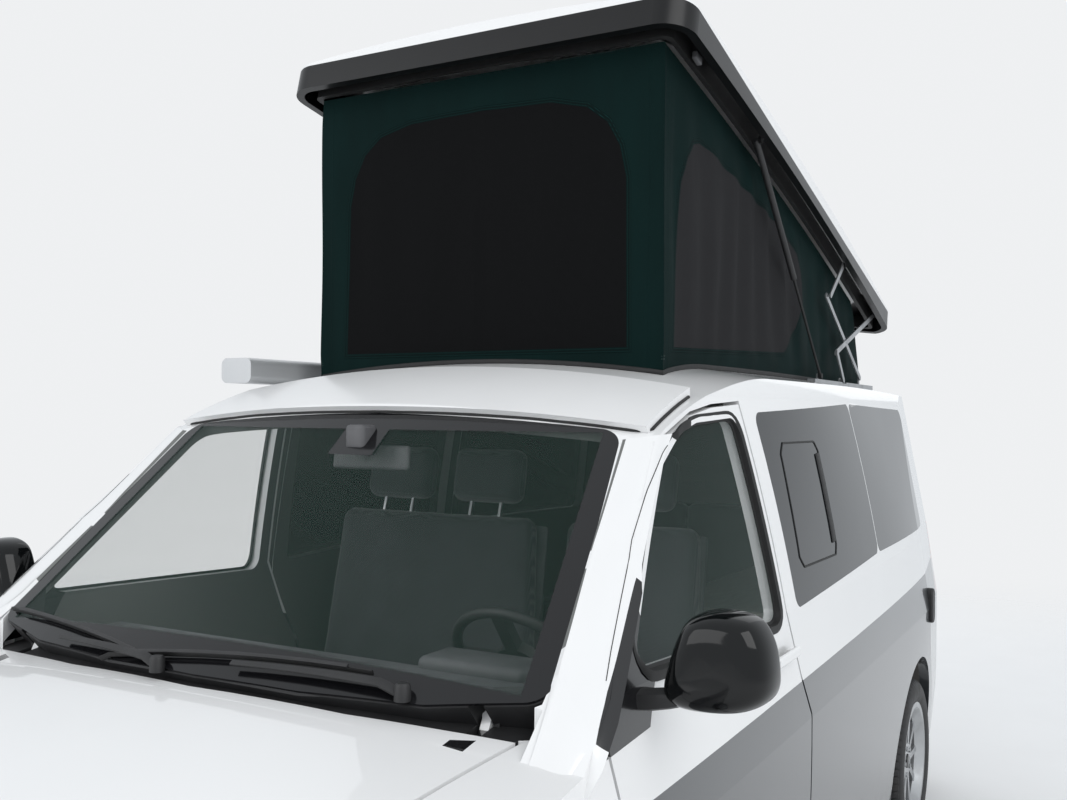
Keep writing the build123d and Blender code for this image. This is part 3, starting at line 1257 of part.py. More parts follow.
eye_y = (STRUT_LAYER - STRUT_EYE_HALF, STRUT_LAYER + STRUT_EYE_HALF)
with BuildPart() as strut_tube:
    add(rod(strut_point(0), strut_point(STRUT_TUBE_LENGTH), STRUT_RADII[0]))
    bore_end = strut_point(STRUT_TUBE_LENGTH + BORE_OVERRUN)
    add(rod(strut_point(STRUT_BORE_START), bore_end, STRUT_RADII[1] + PIN_GAP), mode=Mode.SUBTRACT)
    add(drum(*STRUT_ROOF, HINGE_PIN_RADIUS, STRUT_LAYER, ROOF_PIN_END))
keep("strut_tubes", both_sides(strut_tube.part))
with BuildPart() as strut_rod:
    add(rod(strut_point(STRUT_TUBE_LENGTH - STRUT_OVERLAP), strut_point(strut_length), STRUT_RADII[1]))
    add(drum(*STRUT_BASE, STRUT_RADII[0], *eye_y))
keep("strut_rods", both_sides(strut_rod.part))

# Base rails on the roof with the pins that carry the hinge and the struts
BASE_PINS = [
    (BAR_A_BASE, LAYER_A + BAR_THICK), (LINK_B_BASE, LAYER_LINK_B + BAR_THICK), (STRUT_BASE, eye_y[0] - SEAT),
]
with BuildPart() as base_rail:
    rail_low = (BASE_RAIL_X[0], BASE_RAIL_Y[0], BASE_RAIL_TOP - BASE_RAIL_DEPTH)
    add(box_between(rail_low, (BASE_RAIL_X[1], BASE_RAIL_Y[1], BASE_RAIL_TOP)))
    add(over_roof, mode=Mode.SUBTRACT)
    link_x, link_z = LINK_B_BASE
    add(box_between(
        (link_x - LINK_ROOM[0], LAYER_LINK_B - SEAM, link_z - LINK_ROOM[0]),
        (link_x + LINK_ROOM[1], BASE_RAIL_Y[1], BASE_RAIL_TOP),
    ), mode=Mode.SUBTRACT)
    for (x, z), y_to in BASE_PINS:
        lug_low = (x - BASE_LUG_HALF, LAYER_LUG, BASE_RAIL_TOP - BASE_LUG_TUCK)
        add(box_between(lug_low, (x + BASE_LUG_HALF, LAYER_A - BASE_LUG_TUCK / 2, z + BASE_LUG_HALF)))
        add(drum(x, z, HINGE_PIN_RADIUS, LAYER_LUG, y_to))
keep("roof_rails", both_sides(base_rail.part))

# Fabric as one closed solid of its outer shape
with BuildPart() as fabric:
    add(side_region(FABRIC_SIDE, -FABRIC_HALF, FABRIC_HALF))
    inner_half = FABRIC_HALF - FABRIC_WALL
    add(side_region(FABRIC_SIDE, -inner_half, inner_half, grow=-FABRIC_WALL), mode=Mode.SUBTRACT)
    add(arched_volume(FABRIC_REACH, FABRIC_TUCK, False), mode=Mode.INTERSECT)
    add(over_roof, mode=Mode.SUBTRACT)
keep("canvas", fabric.part)

# Front fairing over the roof's brow, down to the windscreen's top edge
with BuildPart() as front_cap:
    add(body_form(-CAP_RISE))
    cap_front, cap_low, cap_high = CAP_REACH
    add(box_between((CAP_REAR_X, -CAP_HALF, cap_low), (cap_front, CAP_HALF, cap_high)), mode=Mode.INTERSECT)
    add(over_roof, mode=Mode.SUBTRACT)
    with BuildSketch(SCREEN_PLANE):
        with Locations((-SCREEN_REACH / 2 + SEAM, 0)):
            Rectangle(SCREEN_REACH, 4 * CAP_HALF)
    extrude(amount=SCREEN_REACH, both=True, mode=Mode.SUBTRACT)
keep("front_cap", front_cap.part)

with BuildPart() as awning:
    add(box_between(*AWNING))
    fillet(awning.edges().filter_by(Axis.X), AWNING_ROUND)
    add(over_roof, mode=Mode.SUBTRACT)
keep("awning", awning.part)

os.makedirs("parts", exist_ok=True)
for name, piece in pieces.items():
    piece.label = name
    export_step(piece, f"parts/{name}.step")
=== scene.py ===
import json
import math
from contextlib import contextmanager

import bmesh
import bpy
from mathutils import Matrix, Vector, noise
from mathutils.bvhtree import BVHTree


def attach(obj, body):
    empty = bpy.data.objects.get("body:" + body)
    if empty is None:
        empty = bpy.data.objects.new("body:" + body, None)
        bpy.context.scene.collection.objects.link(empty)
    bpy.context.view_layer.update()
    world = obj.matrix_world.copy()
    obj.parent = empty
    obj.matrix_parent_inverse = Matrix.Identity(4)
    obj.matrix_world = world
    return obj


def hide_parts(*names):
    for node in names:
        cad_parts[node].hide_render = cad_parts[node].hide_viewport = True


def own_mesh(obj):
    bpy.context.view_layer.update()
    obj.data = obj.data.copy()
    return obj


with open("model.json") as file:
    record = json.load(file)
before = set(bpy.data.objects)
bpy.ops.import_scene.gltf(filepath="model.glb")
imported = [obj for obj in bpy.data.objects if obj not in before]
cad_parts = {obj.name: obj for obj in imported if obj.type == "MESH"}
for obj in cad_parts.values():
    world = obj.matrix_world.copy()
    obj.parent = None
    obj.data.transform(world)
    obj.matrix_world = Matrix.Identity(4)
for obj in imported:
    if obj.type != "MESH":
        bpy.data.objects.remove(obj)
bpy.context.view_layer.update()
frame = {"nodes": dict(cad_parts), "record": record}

bl_info = {
    "name": "Camper van with elevating roof",
    "version": (1, 0, 0),
    "blender": (4, 5, 0),
    "location": "View3D > Sidebar > Camper",
    "description": "Finishes, fabric, trim and studio for a compact camper van",
    "category": "Object",
}

NODES = frame["nodes"]
SIDES = (("left", 1), ("right", -1))
AXLES = (("front", 1.535), ("rear", -1.465))

# Places on the van, in metres
TRACK_Y = 0.814
TYRE_RADIUS = 0.338
AXLE_MIDDLE, HALF_BASE = 0.035, 1.5
SCREEN_HALF, SCREEN_FOOT, SCREEN_TAPER = 0.792, 1.207, 0.186
SCREEN_OUT = Vector((0.40, 0, 0.916))
WINDOW_TOP = 1.752
SAIL_PLATE = [
    (1.237, 1.439), (1.440, 1.260), (1.518, 1.187), (1.507, 1.160), (1.485, 1.150), (1.300, 1.165), (1.254, 1.260),
]
FRONT_NET = [
    (-0.492, 1.955), (0.492, 1.955), (0.487, 2.430), (0.468, 2.520), (0.430, 2.590), (0.365, 2.640), (0.250, 2.668),
    (0.000, 2.676), (-0.250, 2.668), (-0.365, 2.640), (-0.430, 2.590), (-0.468, 2.520), (-0.487, 2.430),
]
SIDE_NET = [
    (0.415, 1.957), (-0.640, 2.000), (-0.800, 2.100), (-0.850, 2.200), (-0.845, 2.290), (-0.780, 2.375),
    (-0.640, 2.443), (0.150, 2.563), (0.220, 2.571), (0.285, 2.553), (0.330, 2.505), (0.362, 2.430),
]
PILLAR_REAR = [
    (1.590, 0.905, 1.085), (1.455, 0.900, 1.210), (1.245, 0.862, 1.410), (1.207, 0.850, 1.462), (1.051, 0.814, 1.596),
    (0.960, 0.797, 1.672), (0.895, 0.788, 1.722),
]
DOOR_SEAM = [
    (1.425, 0.880, 1.275), (1.379, 0.867, 1.318), (1.300, 0.850, 1.392), (1.177, 0.820, 1.506), (1.065, 0.802, 1.600),
    (0.948, 0.785, 1.682), (0.860, 0.781, 1.732),
]
SLIDER_PANE = ((-0.130, 1.345), (0.250, 1.690))
RIM_FRONT = Vector((0.585, 0, 2.809))
RIM_REAR = Vector((-2.098, 0, 2.169))
RIM_SLOPE = math.atan2(RIM_FRONT.z - RIM_REAR.z, RIM_FRONT.x - RIM_REAR.x)
# Each front seat: from y, to y, and the middles of its headrests
SEATS = [(0.185, 0.675, (0.430,)), (-0.690, 0.150, (-0.427, -0.086))]
BENCH = (-0.795, 0.325)
CABIN_FLOOR = 0.4805
FLOOR_REACH = 60
CUPBOARDS = (-1.84, -1.36, -0.88, -0.40)

UP = Vector((0, 0, 1))
ACROSS = Vector((0, 1, 0))
SHARP = math.radians(38)
BLACK_PAINT = (0.006, 0.006, 0.007, 1)


class Signal:
    """A value or colour on its way through a finish."""

    def __init__(self, finish, socket):
        self.finish = finish
        self.socket = socket

    def maths(self, operation, *others):
        """The result of a calculation with this value first."""
        return self.finish.node("ShaderNodeMath", {"operation": operation}, dict(enumerate((self, *others))))

    def last(self, operation, other):
        """The result of a calculation with this value last."""
        return self.finish.node("ShaderNodeMath", {"operation": operation}, {0: other, 1: self})

    def __gt__(self, other):
        return self.maths("GREATER_THAN", other)

    def __lt__(self, other):
        return self.maths("LESS_THAN", other)

    def size(self):
        return self.maths("ABSOLUTE")

    def either(self, other):
        return self.maths("MAXIMUM", other)

    def both(self, other):
        return self.maths("MINIMUM", other)

    def ramp(self, low, high):
        """0 below low, 1 above high, smooth between."""
        inputs = {"Value": self, "From Min": low, "From Max": high}
        return self.finish.node("ShaderNodeMapRange", {"interpolation_type": "SMOOTHSTEP"}, inputs)


for _word, _operation in (("add", "ADD"), ("sub", "SUBTRACT"), ("mul", "MULTIPLY")):
    setattr(Signal, f"__{_word}__", lambda self, other, kind=_operation: self.maths(kind, other))
    setattr(Signal, f"__r{_word}__", lambda self, other, kind=_operation: self.last(kind, other))


class Finish:
    """One procedural material."""

    def __init__(self, name, **values):
        self.material = bpy.data.materials.new(name)
        self.material.use_nodes = True
        self.tree = self.material.node_tree
        self.tree.nodes.clear()
        self.shader = self.tree.nodes.new("ShaderNodeBsdfPrincipled")
        output = self.tree.nodes.new("ShaderNodeOutputMaterial")
        self.tree.links.new(self.shader.outputs[0], output.inputs["Surface"])
        self.set(**values)

    def node(self, kind, fixed=None, inputs=None, out=0):
        """Adds a node with fixed settings and fed inputs, and gives back one of its outputs."""
        made = self.tree.nodes.new(kind)
        for key, value in (fixed or {}).items():
            setattr(made, key, value)
        for key, value in (inputs or {}).items():
            self.feed(made.inputs[key], value)
        return Signal(self, made.outputs[out])

    def feed(self, socket, value):
        if isinstance(value, Signal):
            self.tree.links.new(value.socket, socket)
        else:
            socket.default_value = value

    def set(self, **values):
        """Feeds the shader's inputs, named in lower case with underscores."""
        for key, value in values.items():
            self.feed(self.shader.inputs[key.replace("_", " ").title().replace("Ior", "IOR")], value)
        return self

    def place(self):
        """The place on the van."""
        return self.node("ShaderNodeTexCoord", out="Object")

    def stored(self, attribute):
        return self.node("ShaderNodeAttribute", {"attribute_name": attribute}, out="Vector")

    def split(self, vector):
        made = self.node("ShaderNodeSeparateXYZ", inputs={0: vector})
        return [Signal(self, output) for output in made.socket.node.outputs]

    def scaled(self, vector, factors):
        return self.node("ShaderNodeVectorMath", {"operation": "MULTIPLY"}, {0: vector, 1: factors})

    def noise(self, vector, scale, detail=3, rough=0.55):
        inputs = {"Vector": vector, "Scale": scale, "Detail": detail, "Roughness": rough}
        return self.node("ShaderNodeTexNoise", None, inputs)

    def edge_shine(self):
        """How much clear glass shines when seen from its outer side."""
        behind = self.node("ShaderNodeNewGeometry", out="Backfacing")
        return self.node("ShaderNodeFresnel", None, {"IOR": 1.5}) * (1 - behind)

    def wave(self, value, pitch):
        """0 to 1 and back once in each pitch."""
        return (value * (2 * math.pi / pitch)).maths("SINE") * 0.5 + 0.5

    def blend(self, mask, first, second):
        made = self.tree.nodes.new("ShaderNodeMix")
        made.data_type = "RGBA"
        self.feed(made.inputs[0], mask)
        self.feed(made.inputs[6], first)
        self.feed(made.inputs[7], second)
        return Signal(self, made.outputs[2])

    def bump(self, height, distance, strength=0.5):
        normal = self.node("ShaderNodeBump", None, {"Height": height, "Distance": distance, "Strength": strength})
        return self.set(normal=normal)

    def inside(self, across, up, outline):
        """Distance outside a convex outline, below 0 within it."""
        area = sum(a[0] * b[1] - b[0] * a[1] for a, b in zip(outline, outline[1:] + outline[:1]))
        distance = None
        for a, b in zip(outline, outline[1:] + outline[:1]):
            run, rise = b[0] - a[0], b[1] - a[1]
            length = math.hypot(run, rise) * (1 if area > 0 else -1)
            edge = across * (rise / length) - up * (run / length) - (a[0] * rise - a[1] * run) / length
            distance = edge if distance is None else distance.either(edge)
        return distance


def shade(colour):
    """A colour picked on screen, as the renderer counts it."""
    linear = [c / 12.92 if c <= 0.04045 else ((c + 0.055) / 1.055) ** 2.4 for c in colour]
    return (*linear, 1.0)


def grown(colour, factor):
    """A colour made lighter or darker by a factor."""
    return (*(min(1.0, c * factor) for c in colour[:3]), 1.0)


def colour_setting(name, description, default):
    """A colour for the panel."""
    return bpy.props.FloatVectorProperty(
        name=name, description=description, default=default, size=3, subtype="COLOR", min=0, max=1)


def length_setting(name, description, default, low, high):
    """A length in metres for the panel."""
    return bpy.props.FloatProperty(
        name=name, description=description, default=default, unit="LENGTH", min=low, max=high)


class CamperColours(bpy.types.PropertyGroup):
    """Colours of the van."""

    upper: colour_setting("Upper paint", "Paint above the waist", (0.80, 0.80, 0.80))
    lower: colour_setting("Lower paint", "Metallic paint below the waist", (0.048, 0.053, 0.058))
    tent: colour_setting("Tent fabric", "Fabric of the raised roof", (0.0014, 0.0105, 0.0100))
    seats: colour_setting("Seat fabric", "Woven seat covers", (0.045, 0.047, 0.052))


class CamperSizes(bpy.types.PropertyGroup):
    """Sizes of trim and fabric."""

    waist: length_setting("Paint line", "Height of the line between the two paints", 1.060, 0.9, 1.2)
    fold_depth: length_setting("Fabric folds", "How far the tent fabric waves in and out", 0.009, 0, 0.02)
    stitch_pitch: length_setting("Stitch pitch", "Distance between stitches", 0.014, 0.004, 0.05)
    tread_depth: length_setting("Tread depth", "Depth of the tyre grooves", 0.007, 0.001, 0.01)


def paint(look, sizes):
    """Body paint in two colours, black at the mirrors, painted shade (solid black) in the bonnet hinge openings, and
    the grey lining on inner faces.
    """
    finish = Finish("body_paint_two_tone", coat_roughness=0.03)
    place = finish.place()
    x, y, z = finish.split(place)
    facing = finish.split(finish.node("ShaderNodeTexCoord", out="Normal"))
    lower = z + x * 0.020 < sizes.waist
    flake = finish.noise(place, 2600, 1).ramp(0.35, 0.75)
    cloud = finish.noise(place, 2.2, 2)
    upper_colour = finish.blend(cloud.ramp(0.3, 0.7), grown(look.upper, 0.98), (*look.upper, 1))
    lower_colour = finish.blend(flake, grown(look.lower, 0.88), grown(look.lower, 1.15))
    body = finish.blend(lower, upper_colour, lower_colour)
    # Painted shade: the bonnet's hinge openings are filled with solid black paint.
    hinge_opening_shade = ((y.size() - 0.660).size() < 0.022).both(x < 1.60).both(z < 1.168).both(x > 1.44)
    # Black at the mirror's base plate, its real colour, and painted shade at the hinge openings.
    plate_and_hinge_shade = (finish.inside(x, z, SAIL_PLATE) < 0).both(y.size() > 0.80).either(hinge_opening_shade)
    inward = (facing[1] * y < -0.25).both(z > 0.5).both(x < 1.40).both(x > -2.3)
    under = (facing[2] < -0.5).both(z > 1.6).both(y.size() < 0.7)
    lining = inward.either(under) * (1 - plate_and_hinge_shade)
    dust = finish.noise(place, 14, 4).ramp(0.45, 0.8) * (1 - z.ramp(0.30, 0.62)) * 0.10
    body = finish.blend(dust, body, shade((0.46, 0.43, 0.39)))
    body = finish.blend(plate_and_hinge_shade, body, BLACK_PAINT)
    finish.set(
        base_color=finish.blend(lining, body, (0.16, 0.165, 0.16, 1)),
        metallic=lower * (1 - plate_and_hinge_shade) * (1 - lining) * 0.40,
        roughness=0.32 + dust * 0.5 + lining * 0.5 - plate_and_hinge_shade * 0.12,
        coat_weight=(1 - lining) * 0.9 - plate_and_hinge_shade * 0.3,
    )
    return finish.bump(finish.noise(place, 260, 1), 0.0002, 0.02).material


def shell_white(look):
    """Roof shell: white skin, black rim band and black inside."""
    finish = Finish("roof_shell_white", specular_ior_level=0.35, coat_roughness=0.15)
    place = finish.place()
    x, y, z = finish.split(place)
    over = (z - RIM_REAR.z) * math.cos(RIM_SLOPE) - (x - RIM_REAR.x) * math.sin(RIM_SLOPE)
    above = (x < 0.60) * over.ramp(0.0800, 0.0812)
    white = above.either(x > 0.66)
    colour = finish.blend(finish.noise(place, 3, 3).ramp(0.3, 0.7), grown(look.upper, 0.98), (*look.upper, 1))
    black = finish.blend(finish.noise(place, 6, 3), (0.0035, 0.0035, 0.004, 1), (0.006, 0.006, 0.0065, 1))
    finish.set(
        base_color=finish.blend(white, black, colour),
        roughness=0.30 + finish.noise(place, 12, 2) * 0.04,
        coat_weight=white * 0.30,
    )
    return finish.bump(finish.noise(place, 120, 1), 0.0002, 0.01).material


def plain_plastic(name, colour, rough, grain, depth):
    """Moulded plastic with a fine grain."""
    finish = Finish(name)
    place = finish.place()
    finish.set(
        base_color=finish.blend(finish.noise(place, 9, 4).ramp(0.3, 0.75), grown(colour, 0.8), grown(colour, 1.25)),
        roughness=rough + finish.noise(place, 45, 3) * 0.12 - 0.06,
    )
    return finish.bump(finish.noise(place, grain, 2), depth, 0.5).material


def gloss_black():
    """Polished black, nearly a mirror."""
    finish = Finish("gloss_black", specular_ior_level=0.30, coat_weight=0.10, coat_roughness=0.03)
    place = finish.place()
    finish.set(
        base_color=finish.blend(finish.noise(place, 5, 3), (0.0025, 0.0030, 0.0032, 1), (0.0050, 0.0055, 0.0060, 1)),
        roughness=0.06 + finish.noise(place, 20, 2) * 0.05,
    )
    return finish.bump(finish.noise(place, 240, 1), 0.0003, 0.05).material


def green_glass(name, tint, clear, frame_band):
    """Tinted glass that thickens to solid black inside its painted border."""
    finish = Finish(name, ior=1.5)
    place = finish.place()
    x, y, z = finish.split(place)
    fresnel = finish.edge_shine()
    streak = finish.noise(finish.scaled(place, (1, 1, 4)), 6, 3)
    solid = frame_band(finish, x, y, z)
    finish.set(
        base_color=finish.blend(solid, tint, BLACK_PAINT),
        roughness=0.015 + streak.ramp(0.5, 0.9) * 0.03 + solid * 0.10,
        alpha=((1 - clear) + fresnel * 0.9 + streak * 0.01).either(solid).both(1.0),
    )
    return finish.material


def screen_edge(z):
    """How far the windscreen reaches to the side at a height."""
    return SCREEN_HALF - (z - SCREEN_FOOT) * SCREEN_TAPER


def screen_band(finish, x, y, z):
    """Black border of the windscreen, fading through dots at its inner edge."""
    side = y.size() - screen_edge(z)
    low = (SCREEN_FOOT + 0.070) - z - y * y * 0.055
    high = z - 1.718
    sensor = (y.size() - 0.075).either(1.655 - z)
    reach = (side + 0.052).either(low).either(high).either(0 - sensor)
    dots = finish.wave(y, 0.004) * finish.wave(z, 0.004)
    return reach + dots * 0.004 > 0.006


def rear_band(finish, x, y, z):
    """Painted edge of the rear and side panes."""
    side = y.size() - (0.640 - (z - 1.270) * 0.129)
    edge = ((side + 0.022).either(z - WINDOW_TOP).either(1.292 - z)) > 0
    return edge * (x < -2.0)


def door_band(finish, x, y, z):
    """Painted upper edge of the door windows."""
    return z - WINDOW_TOP > 0


def lens(name, colour, clear, pitch):
    """Moulded lamp cover with fine ribs."""
    finish = Finish(name, coat_weight=1.0, coat_roughness=0.02)
    _, y, z = finish.split(finish.place())
    fresnel = finish.edge_shine()
    ribs = finish.wave(z, pitch) * finish.wave(y, pitch)
    finish.set(
        base_color=finish.blend(ribs, colour, grown(colour, 1.35)),
        roughness=0.06 + ribs * 0.05,
        alpha=((1 - clear) + fresnel * 0.7).both(1.0),
    )
    return finish.bump(ribs, 0.0012, 0.35).material


def tail_lens():
    """Tall rear lamp: red, with a clear reversing band and an amber indicator."""
    finish = Finish("rear_lamp_red", coat_weight=1.0, coat_roughness=0.02)
    _, y, z = finish.split(finish.place())
    clear = (z - 1.055).size() < 0.030
    amber = (z - 1.122).size() < 0.030
    grid = finish.wave(z, 0.0062) * finish.wave(y, 0.0062)
    colour = finish.blend(amber, (0.34, 0.008, 0.006, 1), (0.62, 0.20, 0.02, 1))
    colour = finish.blend(clear, colour, (0.60, 0.60, 0.59, 1))
    finish.set(base_color=finish.blend(grid * 0.5, colour, (0.9, 0.3, 0.25, 1)), roughness=0.10 + grid * 0.08)
    return finish.bump(grid, 0.0014, 0.45).material


def rubber():
    """Tyre rubber: rings round the wall, dust in patches."""
    finish = Finish("tyre_rubber")
    place = finish.place()
    x, _, z = finish.split(place)
    middle = (x - AXLE_MIDDLE).size() - HALF_BASE
    radius = (middle * middle + (z - TYRE_RADIUS) * (z - TYRE_RADIUS)).maths("SQRT")
    wall = (1 - radius.ramp(0.325, 0.331)) * radius.ramp(0.238, 0.246)
    rings = finish.wave(radius, 0.006) * wall
    marks = finish.noise(place, 90, 4)
    dirt = finish.noise(place, 18, 4).ramp(0.42, 0.8)
    finish.set(
        base_color=finish.blend(dirt * 0.55, (0.013, 0.013, 0.014, 1), (0.050, 0.047, 0.043, 1)),
        roughness=0.62 + dirt * 0.22 - rings * 0.10,
    )
    return finish.bump(rings + marks * 0.6, 0.0012, 0.5).material


def metal(name, colour, rough, brushed=(1, 1, 1), flakes=0.0, metallic=1.0):
    """Bare or lacquered metal with fine lines and light wear."""
    finish = Finish(name)
    place = finish.place()
    lines = finish.noise(finish.scaled(place, brushed), 180, 3)
    stain = finish.noise(place, 12, 4).ramp(0.4, 0.8)
    finish.set(
        base_color=finish.blend(stain, colour, grown(colour, 0.72)),
        metallic=metallic * (1 - stain * 0.25),
        roughness=rough + lines * 0.14 + stain * 0.12 - 0.06,
    )
    return finish.bump(lines + finish.noise(place, 900, 1) * flakes, 0.0005, 0.3).material


def underside():
    """Coated and ribbed underside, and the ribbed mat on top of the floor."""
    finish = Finish("underbody_coating")
    place = finish.place()
    x, y, z = finish.split(place)
    inside = z > CABIN_FLOOR - 0.001
    speck = finish.noise(place, 160, 3)
    low = finish.blend(finish.noise(place, 7, 4).ramp(0.3, 0.7), (0.020, 0.020, 0.021, 1), (0.060, 0.055, 0.048, 1))
    planks = finish.wave(y, 0.12).ramp(0.0, 0.05)
    mat = finish.blend(speck * planks, (0.085, 0.080, 0.075, 1), (0.14, 0.132, 0.12, 1))
    finish.set(base_color=finish.blend(inside, low, mat), roughness=0.75 + speck * 0.15)
    return finish.bump(speck + finish.wave(x, 0.11) * (1 - inside) * 1.5, 0.003, 0.5).material


def tent_fabric(look):
    """Coated woven fabric with dark net windows, taped seams and rows of stitches, with painted light on the side nets
    and painted fold shade on the cloth.
    """
    finish = Finish("tent_fabric", specular_ior_level=0.08)
    place = finish.stored("cut")
    x, y, z = finish.split(place)
    # Painted light: the nets on the sides are drawn lighter than the same net at the front.
    side = y.size() > 0.585
    front_net = finish.inside(y, z, FRONT_NET).either(0.5 - x)
    side_net = finish.inside(x, z, SIDE_NET).either(0.55 - y.size())
    distance = front_net.both(side_net)
    net = 1 - distance.ramp(0.0, 0.0012)
    tape = (1 - (distance - 0.008).size().ramp(0.006, 0.0085)) * (1 - net)
    corner = 1 - ((x - 0.455).size()).both((y.size() - 0.56).size()).ramp(0.0015, 0.003)
    along = x + y
    stitch_row = 1 - ((distance - 0.012).size()).both((distance - 0.004).size()).ramp(0.0006, 0.0011)
    stitch = stitch_row * (finish.wave(along + z, 0.007) > 0.4)
    weave = finish.wave(along, 0.0016) * finish.wave(z, 0.0016)
    threads = finish.noise(finish.scaled(place, (1, 1, 0.25)), 520, 2)
    mesh_grid = finish.wave(along, 0.0030).either(finish.wave(z, 0.0030)).ramp(0.6, 0.95)
    # Painted shade: dark vertical streaks in the cloth, where its folds would be shaded.
    shadow = finish.noise(finish.scaled(place, (1, 1, 0.3)), 5, 3).ramp(0.25, 0.75)
    cloth = finish.blend(threads * 0.6 + shadow * 0.4, grown(look.tent, 0.62), grown(look.tent, 1.45))
    netting = finish.blend(mesh_grid, (0.0015, 0.0016, 0.0018, 1), (0.0070, 0.0074, 0.0080, 1))
    # Painted light: the side nets get a lighter copy of the net's colours.
    lit_side_netting = finish.blend(mesh_grid, (0.007, 0.007, 0.0078, 1), (0.034, 0.034, 0.036, 1))
    netting = finish.blend(side, netting, lit_side_netting)
    colour = finish.blend(net, finish.blend(tape * 0.8, cloth, grown(look.tent, 0.5)), netting)
    colour = finish.blend(stitch, colour, grown(look.tent, 3.0))
    finish.set(base_color=colour, roughness=0.72 + weave * 0.12 + net * 0.08)
    height = weave * 0.25 * (1 - net) + mesh_grid * net * 0.4 + tape * 1.3 + stitch * 0.8 + corner * (1 - net)
    return finish.bump(height + threads * 0.25, 0.0014, 0.6).material


def woven(name, colour, pitch):
    """Woven upholstery or thread."""
    finish = Finish(name, sheen_weight=0.35, sheen_roughness=0.45)
    place = finish.place()
    x, y, z = finish.split(place)
    over = finish.wave(x + z, pitch) * finish.wave(y, pitch)
    fibre = finish.noise(place, 700, 2)
    worn = finish.noise(place, 8, 3).ramp(0.35, 0.8)
    base = finish.blend(over * 0.6 + fibre * 0.4, grown(colour, 0.6), grown(colour, 1.6))
    finish.set(base_color=finish.blend(worn * 0.2, base, grown(colour, 2.2)), roughness=0.82 + fibre * 0.1)
    return finish.bump(over + fibre * 0.5, 0.0012, 0.55).material


def laminate():
    """Pale laminate furniture with a faint grain."""
    finish = Finish("furniture_laminate", coat_weight=0.15, coat_roughness=0.3)
    place = finish.place()
    grain = finish.noise(finish.scaled(place, (1.2, 12, 12)), 9, 5)
    finish.set(
        base_color=finish.blend(grain.ramp(0.35, 0.7), (0.42, 0.38, 0.33, 1), (0.50, 0.46, 0.41, 1)),
        roughness=0.42 + grain * 0.12,
    )
    return finish.bump(grain, 0.0006, 0.25).material


def awning_metal():
    """Anodised case with fine drawn lines along its length."""
    finish = Finish("awning_case_anodised")
    lines = finish.noise(finish.scaled(finish.place(), (0.4, 40, 40)), 20, 3)
    finish.set(
        base_color=finish.blend(lines, (0.50, 0.51, 0.52, 1), (0.58, 0.59, 0.60, 1)),
        metallic=0.45 + lines * 0.1,
        roughness=0.36 + lines * 0.14,
    )
    return finish.bump(lines, 0.0004, 0.3).material


FINISHES = {}


def settings():
    """The colours and the sizes set in the panel."""
    return bpy.context.scene.camper_colours, bpy.context.scene.camper_sizes


def finishes():
    """Every finish of the van, by its short name."""
    if FINISHES:
        return FINISHES
    look, sizes = settings()
    FINISHES.update(
        body_paint=paint(look, sizes),
        shell_white=shell_white(look),
        black_plastic=plain_plastic("black_plastic_grained", (0.018, 0.018, 0.019, 1), 0.52, 650, 0.0008),
        gloss_black=gloss_black(),
        window_glass=green_glass("windscreen_green_glass", (0.060, 0.110, 0.092, 1), 0.94, screen_band),
        door_glass=green_glass("door_green_glass", (0.060, 0.105, 0.090, 1), 0.93, door_band),
        privacy_glass=green_glass("privacy_glass_dark", (0.016, 0.018, 0.020, 1), 0.10, rear_band),
        lamp_lens=lens("headlamp_lens_clear", (0.55, 0.57, 0.58, 1), 0.72, 0.016),
        rear_lamp=tail_lens(),
        tyre_rubber=rubber(),
        alloy=metal("alloy_silver", (0.50, 0.51, 0.52, 1), 0.30, (1, 1, 1), 0.6, 0.9),
        bar_steel=metal("bar_brushed_steel", (0.42, 0.43, 0.44, 1), 0.34, (0.3, 6, 6)),
        chassis_iron=metal("chassis_cast_iron", (0.055, 0.052, 0.050, 1), 0.62, (1, 1, 1), 1.0, 0.7),
        underbody=underside(),
        tent_fabric=tent_fabric(look),
        seat_fabric=woven("seat_fabric_woven", (*look.seats, 1), 0.0030),
        furniture=laminate(),
        awning_case=awning_metal(),
        seal_rubber=plain_plastic("seal_rubber", (0.0060, 0.0060, 0.0062, 1), 0.60, 300, 0.0006),
        mirror_face=metal("mirror_face_silvered", (0.80, 0.82, 0.83, 1), 0.06),
        reflector=metal("lamp_reflector_bright", (0.80, 0.80, 0.80, 1), 0.12),
        trim_grey=plain_plastic("trim_grey_plastic", (0.10, 0.10, 0.105, 1), 0.55, 500, 0.0008),
        disc_iron=metal("brake_disc_turned", (0.30, 0.29, 0.28, 1), 0.32, (1, 0.2, 1)),
        thread=woven("seam_thread", (0.10, 0.14, 0.13, 1), 0.0010),
    )
    return FINISHES


def placed(name, data):
    """A new object in the scene."""
    item = bpy.data.objects.new(name, data)
    bpy.context.scene.collection.objects.link(item)
    return item


def finished(name, mesh, finish, body, smooth=True):
    """A finished piece on its body."""
    piece = placed(name, mesh)
    mesh.materials.clear()
    mesh.materials.append(finishes()[finish])
    for face in mesh.polygons:
        face.material_index = 0
        face.use_smooth = smooth
    if smooth:
        mesh.set_sharp_from_angle(angle=SHARP)
    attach(piece, body)
    return piece


def grid_faces(rows, columns, rows_closed=False, columns_closed=False):
    """Faces between rows of points, laid row after row."""
    faces = []
    for i in range(rows if rows_closed else rows - 1):
        j = (i + 1) % rows
        for k in range(columns if columns_closed else columns - 1):
            m = (k + 1) % columns
            faces.append((i * columns + k, i * columns + m, j * columns + m, j * columns + k))
    return faces


def end_faces(rows, columns):
    """The two faces that close a tube made of rows of points."""
    return [tuple(range(columns))[::-1], tuple(range((rows - 1) * columns, rows * columns))]


